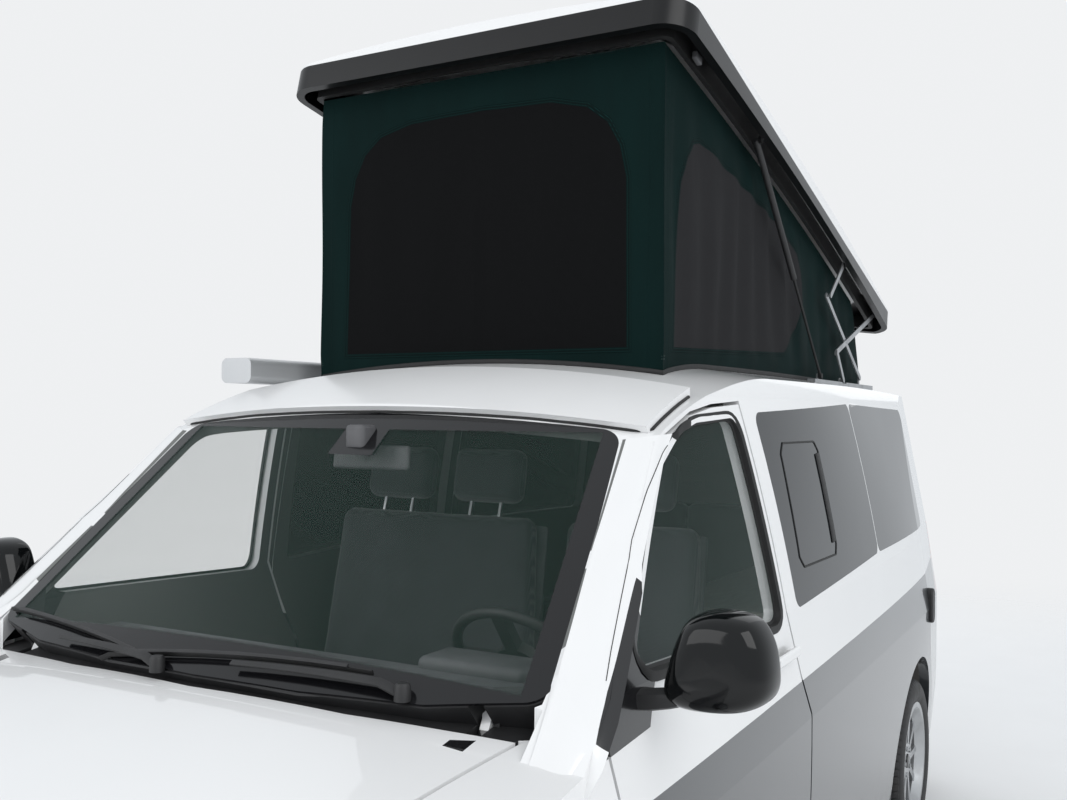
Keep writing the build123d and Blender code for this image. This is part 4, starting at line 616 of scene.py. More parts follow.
@contextmanager
def edited(mesh, *sources):
    """Opens the source meshes together for editing, and writes the result to mesh."""
    work = bmesh.new()
    for source in sources:
        work.from_mesh(source)
    yield work
    work.to_mesh(mesh)
    work.free()


def mesh_from(name, points, faces):
    """A mesh with merged points and all faces turned outwards."""
    mesh = bpy.data.meshes.new(name)
    mesh.from_pydata([tuple(p) for p in points], [], faces)
    mesh.validate()
    with edited(mesh, mesh) as work:
        bmesh.ops.remove_doubles(work, verts=work.verts, dist=1e-6)
        bmesh.ops.recalc_face_normals(work, faces=work.faces)
    return mesh


def joined(name, meshes):
    """Several meshes as one."""
    mesh = bpy.data.meshes.new(name)
    with edited(mesh, *meshes):
        pass
    return mesh


def mirrored(mesh):
    """The same shape on the other side of the van."""
    made = bpy.data.meshes.new(mesh.name + "_other")
    with edited(made, mesh) as work:
        bmesh.ops.transform(work, matrix=Matrix.Diagonal((1, -1, 1, 1)), verts=work.verts)
        bmesh.ops.reverse_faces(work, faces=work.faces)
    return made


def rounded_block(low, high, radius, turn=None):
    """A block with rounded edges, between two corners, turned about its middle."""
    low, high = Vector(low), Vector(high)
    mesh = bpy.data.meshes.new("block")
    with edited(mesh) as work:
        bmesh.ops.create_cube(work, size=1)
        bmesh.ops.scale(work, vec=high - low, verts=work.verts)
        bmesh.ops.bevel(work, geom=work.edges[:], offset=radius, segments=3, affect="EDGES", profile=0.5)
        if turn:
            bmesh.ops.transform(work, matrix=turn, verts=work.verts)
        bmesh.ops.translate(work, verts=work.verts, vec=(low + high) / 2)
    return mesh


def swept(points, width, height, up=UP, closed=False, ends=(1, 1)):
    """A strip of rounded section along points: width across, height along up, scaled from one end to the other."""
    count = len(points)
    ring, squareness = 10, 0.55
    made = []
    for i, point in enumerate(points):
        if closed:
            before, after = points[i - 1], points[(i + 1) % count]
        else:
            before, after = points[max(i - 1, 0)], points[min(i + 1, count - 1)]
        along = (after - before).normalized()
        across = along.cross(up).normalized()
        raised = across.cross(along).normalized()
        share = ends[0] + (ends[1] - ends[0]) * i / max(count - 1, 1)
        for k in range(ring):
            angle = 2 * math.pi * k / ring
            wide, tall = math.cos(angle), math.sin(angle)
            squared = max(abs(wide), abs(tall)) ** squareness
            sideways, upwards = wide / squared * width / 2 * share, tall / squared * height / 2 * share
            made.append(point + across * sideways + raised * upwards)
    faces = grid_faces(count, ring, closed, True) + ([] if closed else end_faces(count, ring))
    return mesh_from("strip", made, faces)


def turned(profile, centre, axis, count, wobble=None):
    """A shape turned about an axis through centre; profile is (radius, along)."""
    made = []
    for i in range(count):
        angle = 2 * math.pi * i / count
        for k, (radius, along) in enumerate(profile):
            if wobble:
                radius = wobble(i, k, radius)
            a, b = radius * math.cos(angle), radius * math.sin(angle)
            offset = {"X": (along, a, b), "Y": (a, along, b), "Z": (a, b, along)}[axis]
            made.append(Vector(centre) + Vector(offset))
    return mesh_from("turned", made, grid_faces(count, len(profile), True))


def surface_of(*names):
    """The CAD nodes' surfaces, for laying trim on."""
    points, faces = [], []
    for name in names:
        mesh = NODES[name].data
        start = len(points)
        points += [v.co.copy() for v in mesh.vertices]
        faces += [tuple(start + i for i in p.vertices) for p in mesh.polygons]
    return BVHTree.FromPolygons(points, faces)


def repeating_tree(name, inputs, nodes, links, modes=()):
    """A tree that sets a shape on points and gives back plain, finished geometry, with its nodes."""
    tree = bpy.data.node_groups.new(name, "GeometryNodeTree")
    face = tree.interface
    face.new_socket("Geometry", in_out="INPUT", socket_type="NodeSocketGeometry")
    for label, kind, value in inputs:
        face.new_socket(label, in_out="INPUT", socket_type=f"NodeSocket{kind}").default_value = value
    face.new_socket("Finish", in_out="INPUT", socket_type="NodeSocketMaterial")
    face.new_socket("Geometry", in_out="OUTPUT", socket_type="NodeSocketGeometry")
    nodes = {
        "source": "NodeGroupInput", **nodes, "place": "GeometryNodeInstanceOnPoints",
        "real": "GeometryNodeRealizeInstances", "wear": "GeometryNodeSetMaterial", "result": "NodeGroupOutput",
    }
    made = {label: tree.nodes.new(kind) for label, kind in nodes.items()}
    for label, mode in modes:
        made[label].mode = mode
    for start, leaving, end, entering in (
        *links, ("place", "Instances", "real", "Geometry"), ("real", "Geometry", "wear", "Geometry"),
        ("source", "Finish", "wear", "Material"), ("wear", "Geometry", "result", "Geometry"),
    ):
        tree.links.new(made[start].outputs[leaving], made[end].inputs[entering])
    return tree, made


def stitch_tree(name):
    """Sets stitches along a path at an even pitch."""
    inputs = (("Pitch", "Float", 0.014), ("Length", "Float", 0.008), ("Thickness", "Float", 0.0012))
    nodes = {
        "path": "GeometryNodeMeshToCurve", "spread": "GeometryNodeCurveToPoints", "shape": "GeometryNodeMeshCube",
        "size": "ShaderNodeCombineXYZ",
    }
    return repeating_tree(name, inputs, nodes, (
        ("source", "Geometry", "path", "Mesh"), ("path", "Curve", "spread", "Curve"),
        ("source", "Pitch", "spread", "Length"), ("source", "Thickness", "size", "X"),
        ("source", "Thickness", "size", "Y"), ("source", "Length", "size", "Z"), ("size", "Vector", "shape", "Size"),
        ("spread", "Points", "place", "Points"), ("spread", "Rotation", "place", "Rotation"),
        ("shape", "Mesh", "place", "Instance"),
    ), (("spread", "LENGTH"),))[0]


def ring_tree(name):
    """Sets a six-sided bolt head on each of a number of places round a circle."""
    inputs = (("Count", "Int", 5), ("Circle", "Float", 0.056), ("Head", "Float", 0.011), ("Height", "Float", 0.012))
    nodes = {"circle": "GeometryNodeMeshCircle", "head": "GeometryNodeMeshCylinder"}
    tree, made = repeating_tree(name, inputs, nodes, (
        ("source", "Count", "circle", "Vertices"), ("source", "Circle", "circle", "Radius"),
        ("source", "Head", "head", "Radius"), ("source", "Height", "head", "Depth"),
        ("circle", "Mesh", "place", "Points"), ("head", "Mesh", "place", "Instance"),
    ))
    made["head"].inputs["Vertices"].default_value = 6
    return tree


def grown_mesh(tree, start, inputs):
    """The plain mesh that a tree makes from a start mesh."""
    carrier = placed("carrier", start)
    made = carrier.modifiers.new("repeat", "NODES")
    made.node_group = tree
    for item in tree.interface.items_tree:
        if item.in_out == "INPUT" and item.name in inputs:
            made[item.identifier] = inputs[item.name]
    bpy.context.view_layer.update()
    graph = bpy.context.evaluated_depsgraph_get()
    mesh = bpy.data.meshes.new_from_object(carrier.evaluated_get(graph))
    carrier.modifiers.remove(made)
    bpy.data.objects.remove(carrier)
    return mesh


def path_mesh(points, closed=False):
    """Points joined by edges, one after another."""
    edges = [(i, i + 1) for i in range(len(points) - 1)] + ([(len(points) - 1, 0)] if closed else [])
    mesh = bpy.data.meshes.new("path")
    mesh.from_pydata([tuple(p) for p in points], edges, [])
    return mesh


class CAMPER_OT_finishes(bpy.types.Operator):
    """Dresses every CAD node in its finish."""

    bl_idname = "camper.finishes"
    bl_label = "Finishes"

    def execute(self, context):
        special = {
            "door_glass_left": "door_glass", "door_glass_right": "door_glass", "dashboard": "trim_grey",
            "roof_rails": "bar_steel", "strut_rods": "seal_rubber", "poptop_liner": "seal_rubber",
            "front_cap": "shell_white",
        }
        for row in frame["record"]["subparts"]:
            node = NODES[row["node"]]
            finish = finishes()[special.get(row["node"], row["material_slot"])]
            if not node.data.materials:
                node.data.materials.append(finish)
            for place in node.material_slots:
                place.link = "OBJECT"
                place.material = finish
        return {"FINISHED"}


def roof_tent(fold_depth):
    """The fabric of the raised roof, one sheet round all four sides."""
    solid = surface_of("canvas")
    low_rear, top_rear, front, half = -1.848, -1.697, 0.502, 0.609
    shell_rear = 2.270
    rows = 44

    def run(a, b, pitch):
        count = max(1, round((Vector(b) - Vector(a)).length / pitch))
        return [Vector(a).lerp(Vector(b), i / count) for i in range(count)]

    outline = (
        run((0, half), (1, half), 1 / 150) + run((1, half), (1, -half), 1 / 70)
        + run((1, -half), (0, -half), 1 / 150) + run((0, -half), (0, half), 1 / 70)
    )
    points, cut = [], []
    for share, y in outline:
        way = 1 if y > 0 else -1
        low = Vector((low_rear + (front - low_rear) * share, y, 0))
        high = Vector((top_rear + (front - top_rear) * share, y, 0))
        down = solid.ray_cast(Vector((high.x if share < 1 else front, y, 3.3)), -UP)[0] if share else None
        up = solid.ray_cast(Vector((max(low.x, -1.842), y, 1.5)), UP)[0]
        low.z = up.z + 0.002 if up else 1.900
        high.z = (down.z if down else shell_rear) - 0.003
        out = Vector(((share >= 1) - (share <= 0), way if abs(y) > 0.6 else 0, 0)).normalized()
        for k in range(rows + 1):
            v = k / rows
            rest = low.lerp(high, v)
            along = share * 2.2 * way + y
            # Waves along the cloth, two sizes of creases, and the pull of the hems
            ease = math.sin(math.pi * v) ** 0.6
            soft = 1.6 if abs(y) > 0.6 and -0.85 < rest.x < 0.42 and 0.08 < v < 0.9 else 0.6
            fold = math.sin(along * 34 + 1.3 * math.sin(v * 3 + along * 5)) * 0.45 * soft
            fold += noise.noise(Vector((rest.x * 3.1, rest.y * 3.1, rest.z * 1.3))) * 1.1
            fold += noise.noise(Vector((rest.x * 11, rest.y * 11, rest.z * 3.0))) * 0.45
            tuck = -0.5 * math.exp(-((v - 0.02) / 0.04) ** 2) - 0.4 * math.exp(-((1 - v) / 0.05) ** 2)
            points.append(rest + out * ((fold * ease - 0.55 + tuck) * fold_depth))
            cut.append(rest)
    count, size = len(outline), rows + 1
    faces = [(a, d, c, b) for a, b, c, d in grid_faces(count, size, True)]
    mesh = bpy.data.meshes.new("roof_tent")
    mesh.from_pydata([tuple(p) for p in points], [], faces)
    store = mesh.attributes.new("cut", "FLOAT_VECTOR", "POINT")
    store.data.foreach_set("vector", [c for p in cut for c in p])
    with edited(mesh, mesh) as work:
        bmesh.ops.recalc_face_normals(work, faces=work.faces)
        if sum(f.normal.y * f.calc_center_median().y for f in work.faces) < 0:
            bmesh.ops.reverse_faces(work, faces=work.faces)
    return mesh, points, size, count


class CAMPER_OT_tent(bpy.types.Operator):
    """Fabric of the raised roof with its nets, hems and stitching."""

    bl_idname = "camper.tent"
    bl_label = "Roof tent"

    def execute(self, context):
        sizes = settings()[1]
        mesh, points, size, count = roof_tent(sizes.fold_depth)
        tent = finished("roof_tent", mesh, "tent_fabric", "van")
        foot = [points[i * size] + UP * 0.006 for i in range(0, count, 3)]
        hem = finished("tent_hem", swept(foot, 0.007, 0.014, closed=True), "seal_rubber", "van")
        tree = stitch_tree("stitch_row")
        stitch = {"Pitch": sizes.stitch_pitch, "Length": 0.009, "Thickness": 0.0012, "Finish": finishes()["thread"]}
        centre = Vector((-0.6, 0, 0))
        rows = []
        for inset in (0.022, 0.030):
            row = [points[i * size + 1] + UP * inset for i in range(count)]
            row = [p + (p - centre).normalized() * 0.0006 for p in row]
            rows.append(grown_mesh(tree, path_mesh(row, True), stitch))
        stitches = finished("tent_stitches", joined("tent_stitches", rows), "thread", "van", False)
        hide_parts("canvas")
        for piece in (tent, hem, stitches):
            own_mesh(piece)
        return {"FINISHED"}


def pad_mesh(half, radius, crown, channels, taper):
    """A stuffed form round the origin: rounded edges, crowned faces, sides drawn in, and sewn channels across x."""
    inner = [max(h - radius, 0.001) for h in half]
    mesh = bpy.data.meshes.new("pad")
    with edited(mesh) as work:
        bmesh.ops.create_cube(work, size=2)
        bmesh.ops.subdivide_edges(work, edges=work.edges[:], cuts=26, use_grid_fill=True)
        for vertex in work.verts:
            u = vertex.co.copy()
            place = u * half
            core = Vector([max(-inner[i], min(inner[i], place[i])) for i in range(3)])
            push = place - core
            place = core + (push.normalized() * radius if push.length > 1e-9 else push)
            x, y, z = (max(1 - c ** 2, 0) for c in u)
            place.z += math.copysign(crown * (x * y) ** 0.7, u.z) * abs(u.z) ** 3
            place.y -= math.copysign(crown * 0.45 * z * x, u.y) * abs(u.y) ** 3
            place.y *= 1 - taper * (u.x + 1) / 2
            for line, depth in channels:
                if u.z > 0.2:
                    place.z -= depth * math.exp(-(((u.x - line) * half.x) / 0.007) ** 2) * (1 - u.y ** 6)
            ripple = noise.noise(place * 14) * 0.0025
            place += push.normalized() * ripple if push.length > 1e-9 else Vector((0, 0, ripple))
            vertex.co = place
    return mesh


def laid_pad(start, end, y_low, y_high, thick, radius, crown, channels=(), taper=0.0):
    """A pad whose long middle line runs from start to end, x and z."""
    start, end = Vector(start), Vector(end)
    length = (end - start).length
    lean = math.atan2(end[1] - start[1], end[0] - start[0])
    middle = (start + end) / 2
    mesh = pad_mesh(Vector((length, y_high - y_low, thick)) / 2, radius, crown, channels, taper)
    mesh.transform(Matrix.Translation((middle[0], (y_low + y_high) / 2, middle[1])) @ Matrix.Rotation(-lean, 4, "Y"))
    return mesh


class CAMPER_OT_seats(bpy.types.Operator):
    """Driver seat, double passenger seat and rear bench as padded pieces, with their frames."""

    bl_idname = "camper.seats"
    bl_label = "Seats"

    def execute(self, context):
        # Sewn channels: where along the pad, and how deep
        rows = [(-0.55, 0.007), (0.0, 0.007), (0.55, 0.007)]
        first = True
        for name, (low, high, heads) in zip(("driver", "passenger"), SEATS):
            parts = {
                "cushion": laid_pad(
                    (0.40, 0.820), (0.882, 0.850), low + 0.012, high - 0.012, 0.088, 0.036, 0.012, rows),
                "back": laid_pad(
                    (0.385, 0.850), (0.298, 1.440), low + 0.014, high - 0.014, 0.088, 0.038, 0.012, rows, 0.10),
            }
            for k, y in enumerate(heads):
                low_y, high_y = y - 0.127, y + 0.127
                parts[f"headrest{k}"] = laid_pad((0.286, 1.482), (0.256, 1.652), low_y, high_y, 0.078, 0.036, 0.008)
            for part, mesh in parts.items():
                pad = finished(f"seat_{name}_{part}", mesh, "seat_fabric", "van")
                if first:
                    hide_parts("front_seats")
                    first = False
            posts = [
                swept([Vector((0.310, y, 1.42)), Vector((0.280, y, 1.52))], 0.013, 0.013, ACROSS)
                for head in heads for y in (head - 0.055, head + 0.055)
            ]
            finished(f"seat_{name}_posts", joined("posts", posts), "bar_steel", "van")
            stand = rounded_block((0.43, low + 0.08, CABIN_FLOOR), (0.81, high - 0.08, 0.775), 0.012)
            rail = rounded_block((0.40, low + 0.05, 0.755), (0.84, high - 0.05, 0.785), 0.006)
            finished(f"seat_{name}_base", joined("base", [stand, rail]), "trim_grey", "van")
            shell = laid_pad((0.330, 0.880), (0.252, 1.415), low + 0.03, high - 0.03, 0.020, 0.009, 0.002)
            finished(f"seat_{name}_backboard", shell, "trim_grey", "van")
        half = (BENCH[1] - BENCH[0]) / 2
        for k in range(2):
            start = BENCH[0] + half * k + 0.004
            end = start + half - 0.008
            seat = laid_pad((-1.735, 0.832), (-1.185, 0.838), start, end, 0.112, 0.036, 0.010, rows)
            back = laid_pad((-1.795, 0.880), (-1.868, 1.328), start, end, 0.100, 0.036, 0.010, rows)
            for part, mesh in (("seat", seat), ("back", back)):
                pad = finished(f"bench_{part}_{k}", mesh, "seat_fabric", "van")
                if k == 0 and part == "seat":
                    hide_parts("rear_bench")
        box = rounded_block((-1.865, -0.79, CABIN_FLOOR), (-1.19, 0.32, 0.775), 0.010)
        drawer = rounded_block((-1.190, -0.70, 0.53), (-1.184, 0.23, 0.74), 0.002)
        finished("bench_box", joined("bench_box", [box, drawer]), "furniture", "van")
        return {"FINISHED"}


def tyre_mesh(centre, depth):
    """Road tyre with four grooves, shoulder blocks and a beaded edge."""
    wall = [
        (0.232, 0.094), (0.240, 0.104), (0.250, 0.110), (0.262, 0.1145), (0.285, 0.1168), (0.300, 0.1155),
        (0.312, 0.1125), (0.322, 0.1070), (0.3290, 0.1000), (0.3335, 0.0930),
    ]
    top = [(0.3352, 0.0860)]
    for middle in (0.060, 0.020, -0.020, -0.060):
        radius = TYRE_RADIUS - (abs(middle) / 0.09) ** 2 * 0.0012
        top += [
            (radius, middle + 0.0062), (radius - depth, middle + 0.0042), (radius - depth, middle - 0.0042),
            (radius, middle - 0.0062),
        ]
        if middle > -0.06:
            top.append((TYRE_RADIUS, middle - 0.020))
    top.append((0.3352, -0.0860))
    profile = wall + top + [(r, -y) for r, y in reversed(wall)]
    shoulder = {k for k, (r, y) in enumerate(profile) if 0.066 < abs(y) < 0.101 and r > 0.322}
    inner = {k for k, (r, y) in enumerate(profile) if abs(abs(y) - 0.040) < 0.001 and r > 0.33}

    def cut(i, k, radius):
        if k in shoulder and i % 5 == 0:
            return radius - depth * 0.8
        if k in inner and i % 4 == 0:
            return radius - depth * 0.5
        return min(radius, TYRE_RADIUS)

    return turned(profile, centre, "Y", 360, cut)


class CAMPER_OT_wheels(bpy.types.Operator):
    """Tyres with tread, wheel bolts, caps, valves, brake discs and calipers."""

    bl_idname = "camper.wheels"
    bl_label = "Wheels"

    def execute(self, context):
        tree = ring_tree("bolt_ring")
        bolt = {"Count": 5, "Circle": 0.056, "Head": 0.0105, "Height": 0.012, "Finish": finishes()["bar_steel"]}
        ring = [(0.070, -0.012), (0.158, -0.012), (0.158, 0.012), (0.070, 0.012), (0.070, -0.012)]
        cover = [(0.0005, 0.006), (0.022, 0.006), (0.027, 0.0045), (0.029, 0.001), (0.029, -0.004)]
        for axle, x in AXLES:
            for name, side in SIDES:
                place, body = f"{axle}_{name}", f"wheel_{axle}_{name}"
                centre = Vector((x, side * TRACK_Y, TYRE_RADIUS))
                mesh = tyre_mesh(centre, settings()[1].tread_depth)
                tyre = finished(f"tyre_road_{place}", mesh, "tyre_rubber", body)
                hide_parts(f"tyre_{axle}_{name}")
                bolts = grown_mesh(tree, path_mesh([Vector((0, 0, 0)), Vector((0, 0, 0.01))]), bolt)
                outer = self.face(f"rim_{place}", centre, side, 0.056)
                bolts.transform(Matrix.Translation((x, outer, TYRE_RADIUS)) @ Matrix.Rotation(math.pi / 2, 4, "X"))
                finished(f"wheel_bolts_{place}", bolts, "bar_steel", body, False)
                hub = self.face(f"rim_{place}", centre, side, 0.012)
                cap = turned([(r, side * a) for r, a in cover], (x, hub, TYRE_RADIUS), "Y", 40)
                finished(f"wheel_cap_{place}", cap, "gloss_black", body)
                ends = [centre + Vector((0, side * 0.060, 0.200)), centre + Vector((0, side * 0.088, 0.203))]
                valve = swept(ends, 0.007, 0.007, Vector((1, 0, 0)))
                finished(f"wheel_valve_{place}", valve, "seal_rubber", body)
                disc_centre = Vector((x, side * (TRACK_Y + 0.012), TYRE_RADIUS))
                disc = turned(ring, disc_centre, "Y", 64)
                finished(f"brake_disc_{place}", disc, "disc_iron", body)
                middle = disc_centre + Vector((-0.115 if axle == "front" else 0.115, 0, 0.010))
                reach = Vector((0.032, 0.030, 0.080))
                block = rounded_block(middle - reach, middle + reach, 0.010)
                holder = f"steer_{name}" if axle == "front" else "van"
                finished(f"brake_caliper_{place}", block, "chassis_iron", holder)
        return {"FINISHED"}

    @staticmethod
    def face(node, centre, side, radius):
        """Where the rim's outer face lies at a radius, along y."""
        surface = surface_of(node)
        hits = []
        for k in range(24):
            angle = math.pi * k / 12
            start = centre + Vector((radius * math.cos(angle), side * 0.4, radius * math.sin(angle)))
            hit = surface.ray_cast(start, Vector((0, -side, 0)))[0]
            if hit:
                hits.append(hit.y)
        return max(hits, key=lambda y: side * y) if hits else centre.y + side * 0.05


def on_screen(points, lift):
    """Points on the windscreen, lifted off its face."""
    surface = surface_of("windscreen", "cowl")
    laid = []
    for x, y in points:
        place = surface.ray_cast(Vector((x, y, 2.2)), -UP)[0] or Vector((x, y, 1.2))
        laid.append(place + SCREEN_OUT * lift)
    return laid


def between(a, b, count):
    """Flat points from a to b at even steps."""
    return [(a[0] + (b[0] - a[0]) * i / count, a[1] + (b[1] - a[1]) * i / count) for i in range(count + 1)]


class CAMPER_OT_screen_trim(bpy.types.Operator):
    """Wipers and the inside mirror."""

    bl_idname = "camper.screen_trim"
    bl_label = "Windscreen trim"

    def execute(self, context):
        slope = Vector((0.55, 0, 0.835))
        for number, (root, joint, tip_a, tip_b) in enumerate((
            ((1.546, 0.515), (1.576, 0.10), (1.532, 0.430), (1.588, -0.290)),
            ((1.592, -0.100), (1.560, -0.46), (1.586, -0.140), (1.478, -0.760)),
        )):
            arm = on_screen(between(root, joint, 8), 0.020)
            arm[0] -= UP * 0.014
            blade = on_screen(between(tip_a, tip_b, 26), 0.010)
            spine = [p + slope * 0.009 for p in blade[2:-2]]
            boss = turned([(0.001, 0.022), (0.012, 0.022), (0.016, 0.016), (0.017, -0.012)], arm[0], "Z", 24)
            lever = swept(arm, 0.018, 0.008, slope, ends=(1.25, 0.7))
            holder = swept(spine, 0.011, 0.006, slope, ends=(0.9, 0.9))
            mesh = joined("wiper", [lever, holder, boss])
            finished(f"wiper_arm_{number}", mesh, "black_plastic", "van")
            mesh = swept(blade, 0.005, 0.014, slope)
            finished(f"wiper_rubber_{number}", mesh, "seal_rubber", "van")
        base = rounded_block((1.012, -0.030, 1.672), (1.070, 0.030, 1.735), 0.010)
        glass = rounded_block((0.985, -0.120, 1.618), (1.008, 0.120, 1.682), 0.009, Matrix.Rotation(-0.12, 4, "Y"))
        stem = swept([Vector((1.035, 0, 1.69)), Vector((1.002, 0, 1.655))], 0.014, 0.014, ACROSS)
        finished("cabin_mirror", joined("mirror", [base, glass, stem]), "trim_grey", "van")
        return {"FINISHED"}


class CAMPER_OT_lamps(bpy.types.Operator):
    """Reflectors and their black backing behind the clear covers."""

    bl_idname = "camper.lamps"
    bl_label = "Lamps"

    def execute(self, context):
        for name, side in SIDES:
            bowls = []
            for y, x, radius in ((0.560, 2.270, 0.066), (0.720, 2.215, 0.052)):
                bowl = [
                    (0.001, -0.060), (radius * 0.45, -0.052), (radius * 0.8, -0.030), (radius, 0.0),
                    (radius + 0.004, 0.0),
                ]
                bowls.append(turned(bowl, (x, side * y, 0.835), "X", 40))
            finished(f"headlamp_reflectors_{name}", joined("bowls", bowls), "reflector", "van")
            near, far = sorted((side * 0.450, side * 0.800))
            backing = rounded_block((2.165, near, 0.705), (2.185, far, 0.920), 0.006)
            finished(f"headlamp_backing_{name}", backing, "gloss_black", "van")
        return {"FINISHED"}


MIRROR_MIDDLE = Vector((1.066, 1.306))
MIRROR_OUTLINE = [
    (0.950, 1.240), (0.958, 1.290), (0.976, 1.345), (0.998, 1.382), (1.040, 1.400), (1.090, 1.401), (1.130, 1.388),
    (1.154, 1.350), (1.163, 1.300), (1.160, 1.262), (1.138, 1.236), (1.095, 1.218), (1.030, 1.211), (0.975, 1.216),
]


def smooth_loop(points, count):
    """Evenly spread points on a smooth closed curve through a few."""
    made = []
    size = len(points)
    for k in range(count):
        at = k * size / count
        i, t = int(at), at - int(at)
        a, b, c, d = (Vector(points[(i + n) % size]) for n in (-1, 0, 1, 2))
        bend, twist = 2 * a - 5 * b + 4 * c - d, 3 * b - a - 3 * c + d
        made.append(0.5 * ((2 * b) + (c - a) * t + bend * t * t + twist * t ** 3))
    return made


def mirror_part(name, rows):
    """A closed form with the mirror's outline at each (x, share of its size)."""
    loop = [p - MIRROR_MIDDLE for p in smooth_loop(MIRROR_OUTLINE, 72)]
    points = [Vector((x, *(MIRROR_MIDDLE + p * share))) for x, share in rows for p in loop]
    return mesh_from(name, points, grid_faces(len(rows), len(loop), False, True) + end_faces(len(rows), len(loop)))


def mirror_housing():
    """Domed housing of the left mirror, hollow at the back round its glass."""
    rows = [(1.274, 0.90), (1.270, 0.94), (1.2685, 0.975), (1.2725, 0.995)]
    angles = [math.pi / 2 * k / 14 for k in range(14)]
    rows += [(1.278 + 0.088 * math.sin(a) ** 0.75, math.cos(a) ** 0.42) for a in angles]
    return mirror_part("housing", rows + [(1.3665, 0.02)])


class CAMPER_OT_mirrors(bpy.types.Operator):
    """Domed housings, arms and silvered faces of the door mirrors."""

    bl_idname = "camper.mirrors"
    bl_label = "Door mirrors"

    def execute(self, context):
        housing = mirror_housing()
        arm = swept([Vector(p) for p in (
            (1.318, 0.900, 1.222), (1.318, 0.930, 1.224), (1.316, 0.962, 1.230), (1.312, 1.000, 1.240),
            (1.308, 1.050, 1.245))], 0.050, 0.034, ends=(1.25, 1.0))
        glass = mirror_part("mirror_glass", ((1.2715, 0.93), (1.2745, 0.93)))
        for name, side in SIDES:
            turn = (lambda mesh: mesh.copy()) if side > 0 else mirrored
            body = f"door_{name}_body"
            case = finished(f"mirror_housing_{name}", turn(housing), "gloss_black", body)
            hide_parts(f"mirror_{name}")
            finished(f"mirror_arm_{name}", turn(arm), "black_plastic", body)
            finished(f"mirror_glass_{name}", turn(glass), "mirror_face", body)
        return {"FINISHED"}


def hull(points):
    """Corners of the smallest convex outline round flat points."""
    points = sorted(set((round(a, 4), round(b, 4)) for a, b in points))

    def bends_in(a, b, c):
        return (b[0] - a[0]) * (c[1] - a[1]) - (b[1] - a[1]) * (c[0] - a[0]) <= 0

    def half(row):
        chain = []
        for p in row:
            while len(chain) > 1 and bends_in(*chain[-2:], p):
                chain.pop()
            chain.append(p)
        return chain[:-1]

    return half(points) + half(points[::-1])


def spread(outline, count):
    """Evenly spaced points along a closed outline."""
    corners = [Vector(p) for p in outline]
    lengths = [(b - a).length for a, b in zip(corners, corners[1:] + corners[:1])]
    total, made = sum(lengths), []
    for k in range(count):
        at = total * k / count
        for i, length in enumerate(lengths):
            if at <= length:
                made.append(corners[i].lerp(corners[(i + 1) % len(corners)], at / length))
                break
            at -= length
    return made


def side_hit(surface, place, side):
    """How far out a surface lies at a place seen from one side of the van, as y; None where there is no skin."""
    hit = surface.ray_cast(Vector((place.x, side * 1.5, place.y)), Vector((0, -side, 0)))[0]
    return hit.y if hit and abs(hit.y) > 0.6 else None


def frame_strip(outline, skin, pane, side):
    """Rubber between a pane and the skin round it: a closed section that follows both."""
    count, wide = 160, 0.020
    loop = spread(outline, count)
    for _ in range(2):
        loop = [(loop[i - 1] + loop[i] * 2 + loop[(i + 1) % count]) / 4 for i in range(count)]
    middle = sum(loop, Vector((0, 0))) / count
    points, places = [], []
    for i, p in enumerate(loop):
        along = (loop[(i + 1) % count] - loop[i - 1]).normalized()
        out = Vector((along.y, -along.x))
        if out.dot(p - middle) < 0:
            out = -out
        pane_y = side_hit(pane, p - out * 0.012, side) or side * 0.88
        found = [side_hit(skin, p + out * reach, side) for reach in (wide, wide + 0.006)]
        found = [abs(y) for y in found if y is not None and abs(y - pane_y) < 0.05]
        places.append((p, out, pane_y, max(found) if found else abs(pane_y) + 0.012))
    levels = [skin_y - abs(pane_y) for _, _, pane_y, skin_y in places]
    for i, (p, out, pane_y, _) in enumerate(places):
        level = sorted(levels[(i + k) % count] for k in range(-4, 5))[4]
        skin_y = pane_y + side * level
        rim, inner = p + out * wide, p - out * 0.008
        section = (
            (rim, skin_y, -0.004), (rim, skin_y, 0.0015), (p + out * wide * 0.55, skin_y, 0.0025), (p, skin_y, 0.0005),
            (p - out * 0.002, pane_y, 0.004), (inner, pane_y, 0.0012), (inner, pane_y, -0.001),
        )
        points += [Vector((q.x, y + side * lift, q.y)) for q, y, lift in section]
    return mesh_from("frame", points, grid_faces(count, len(points) // count, True, True))


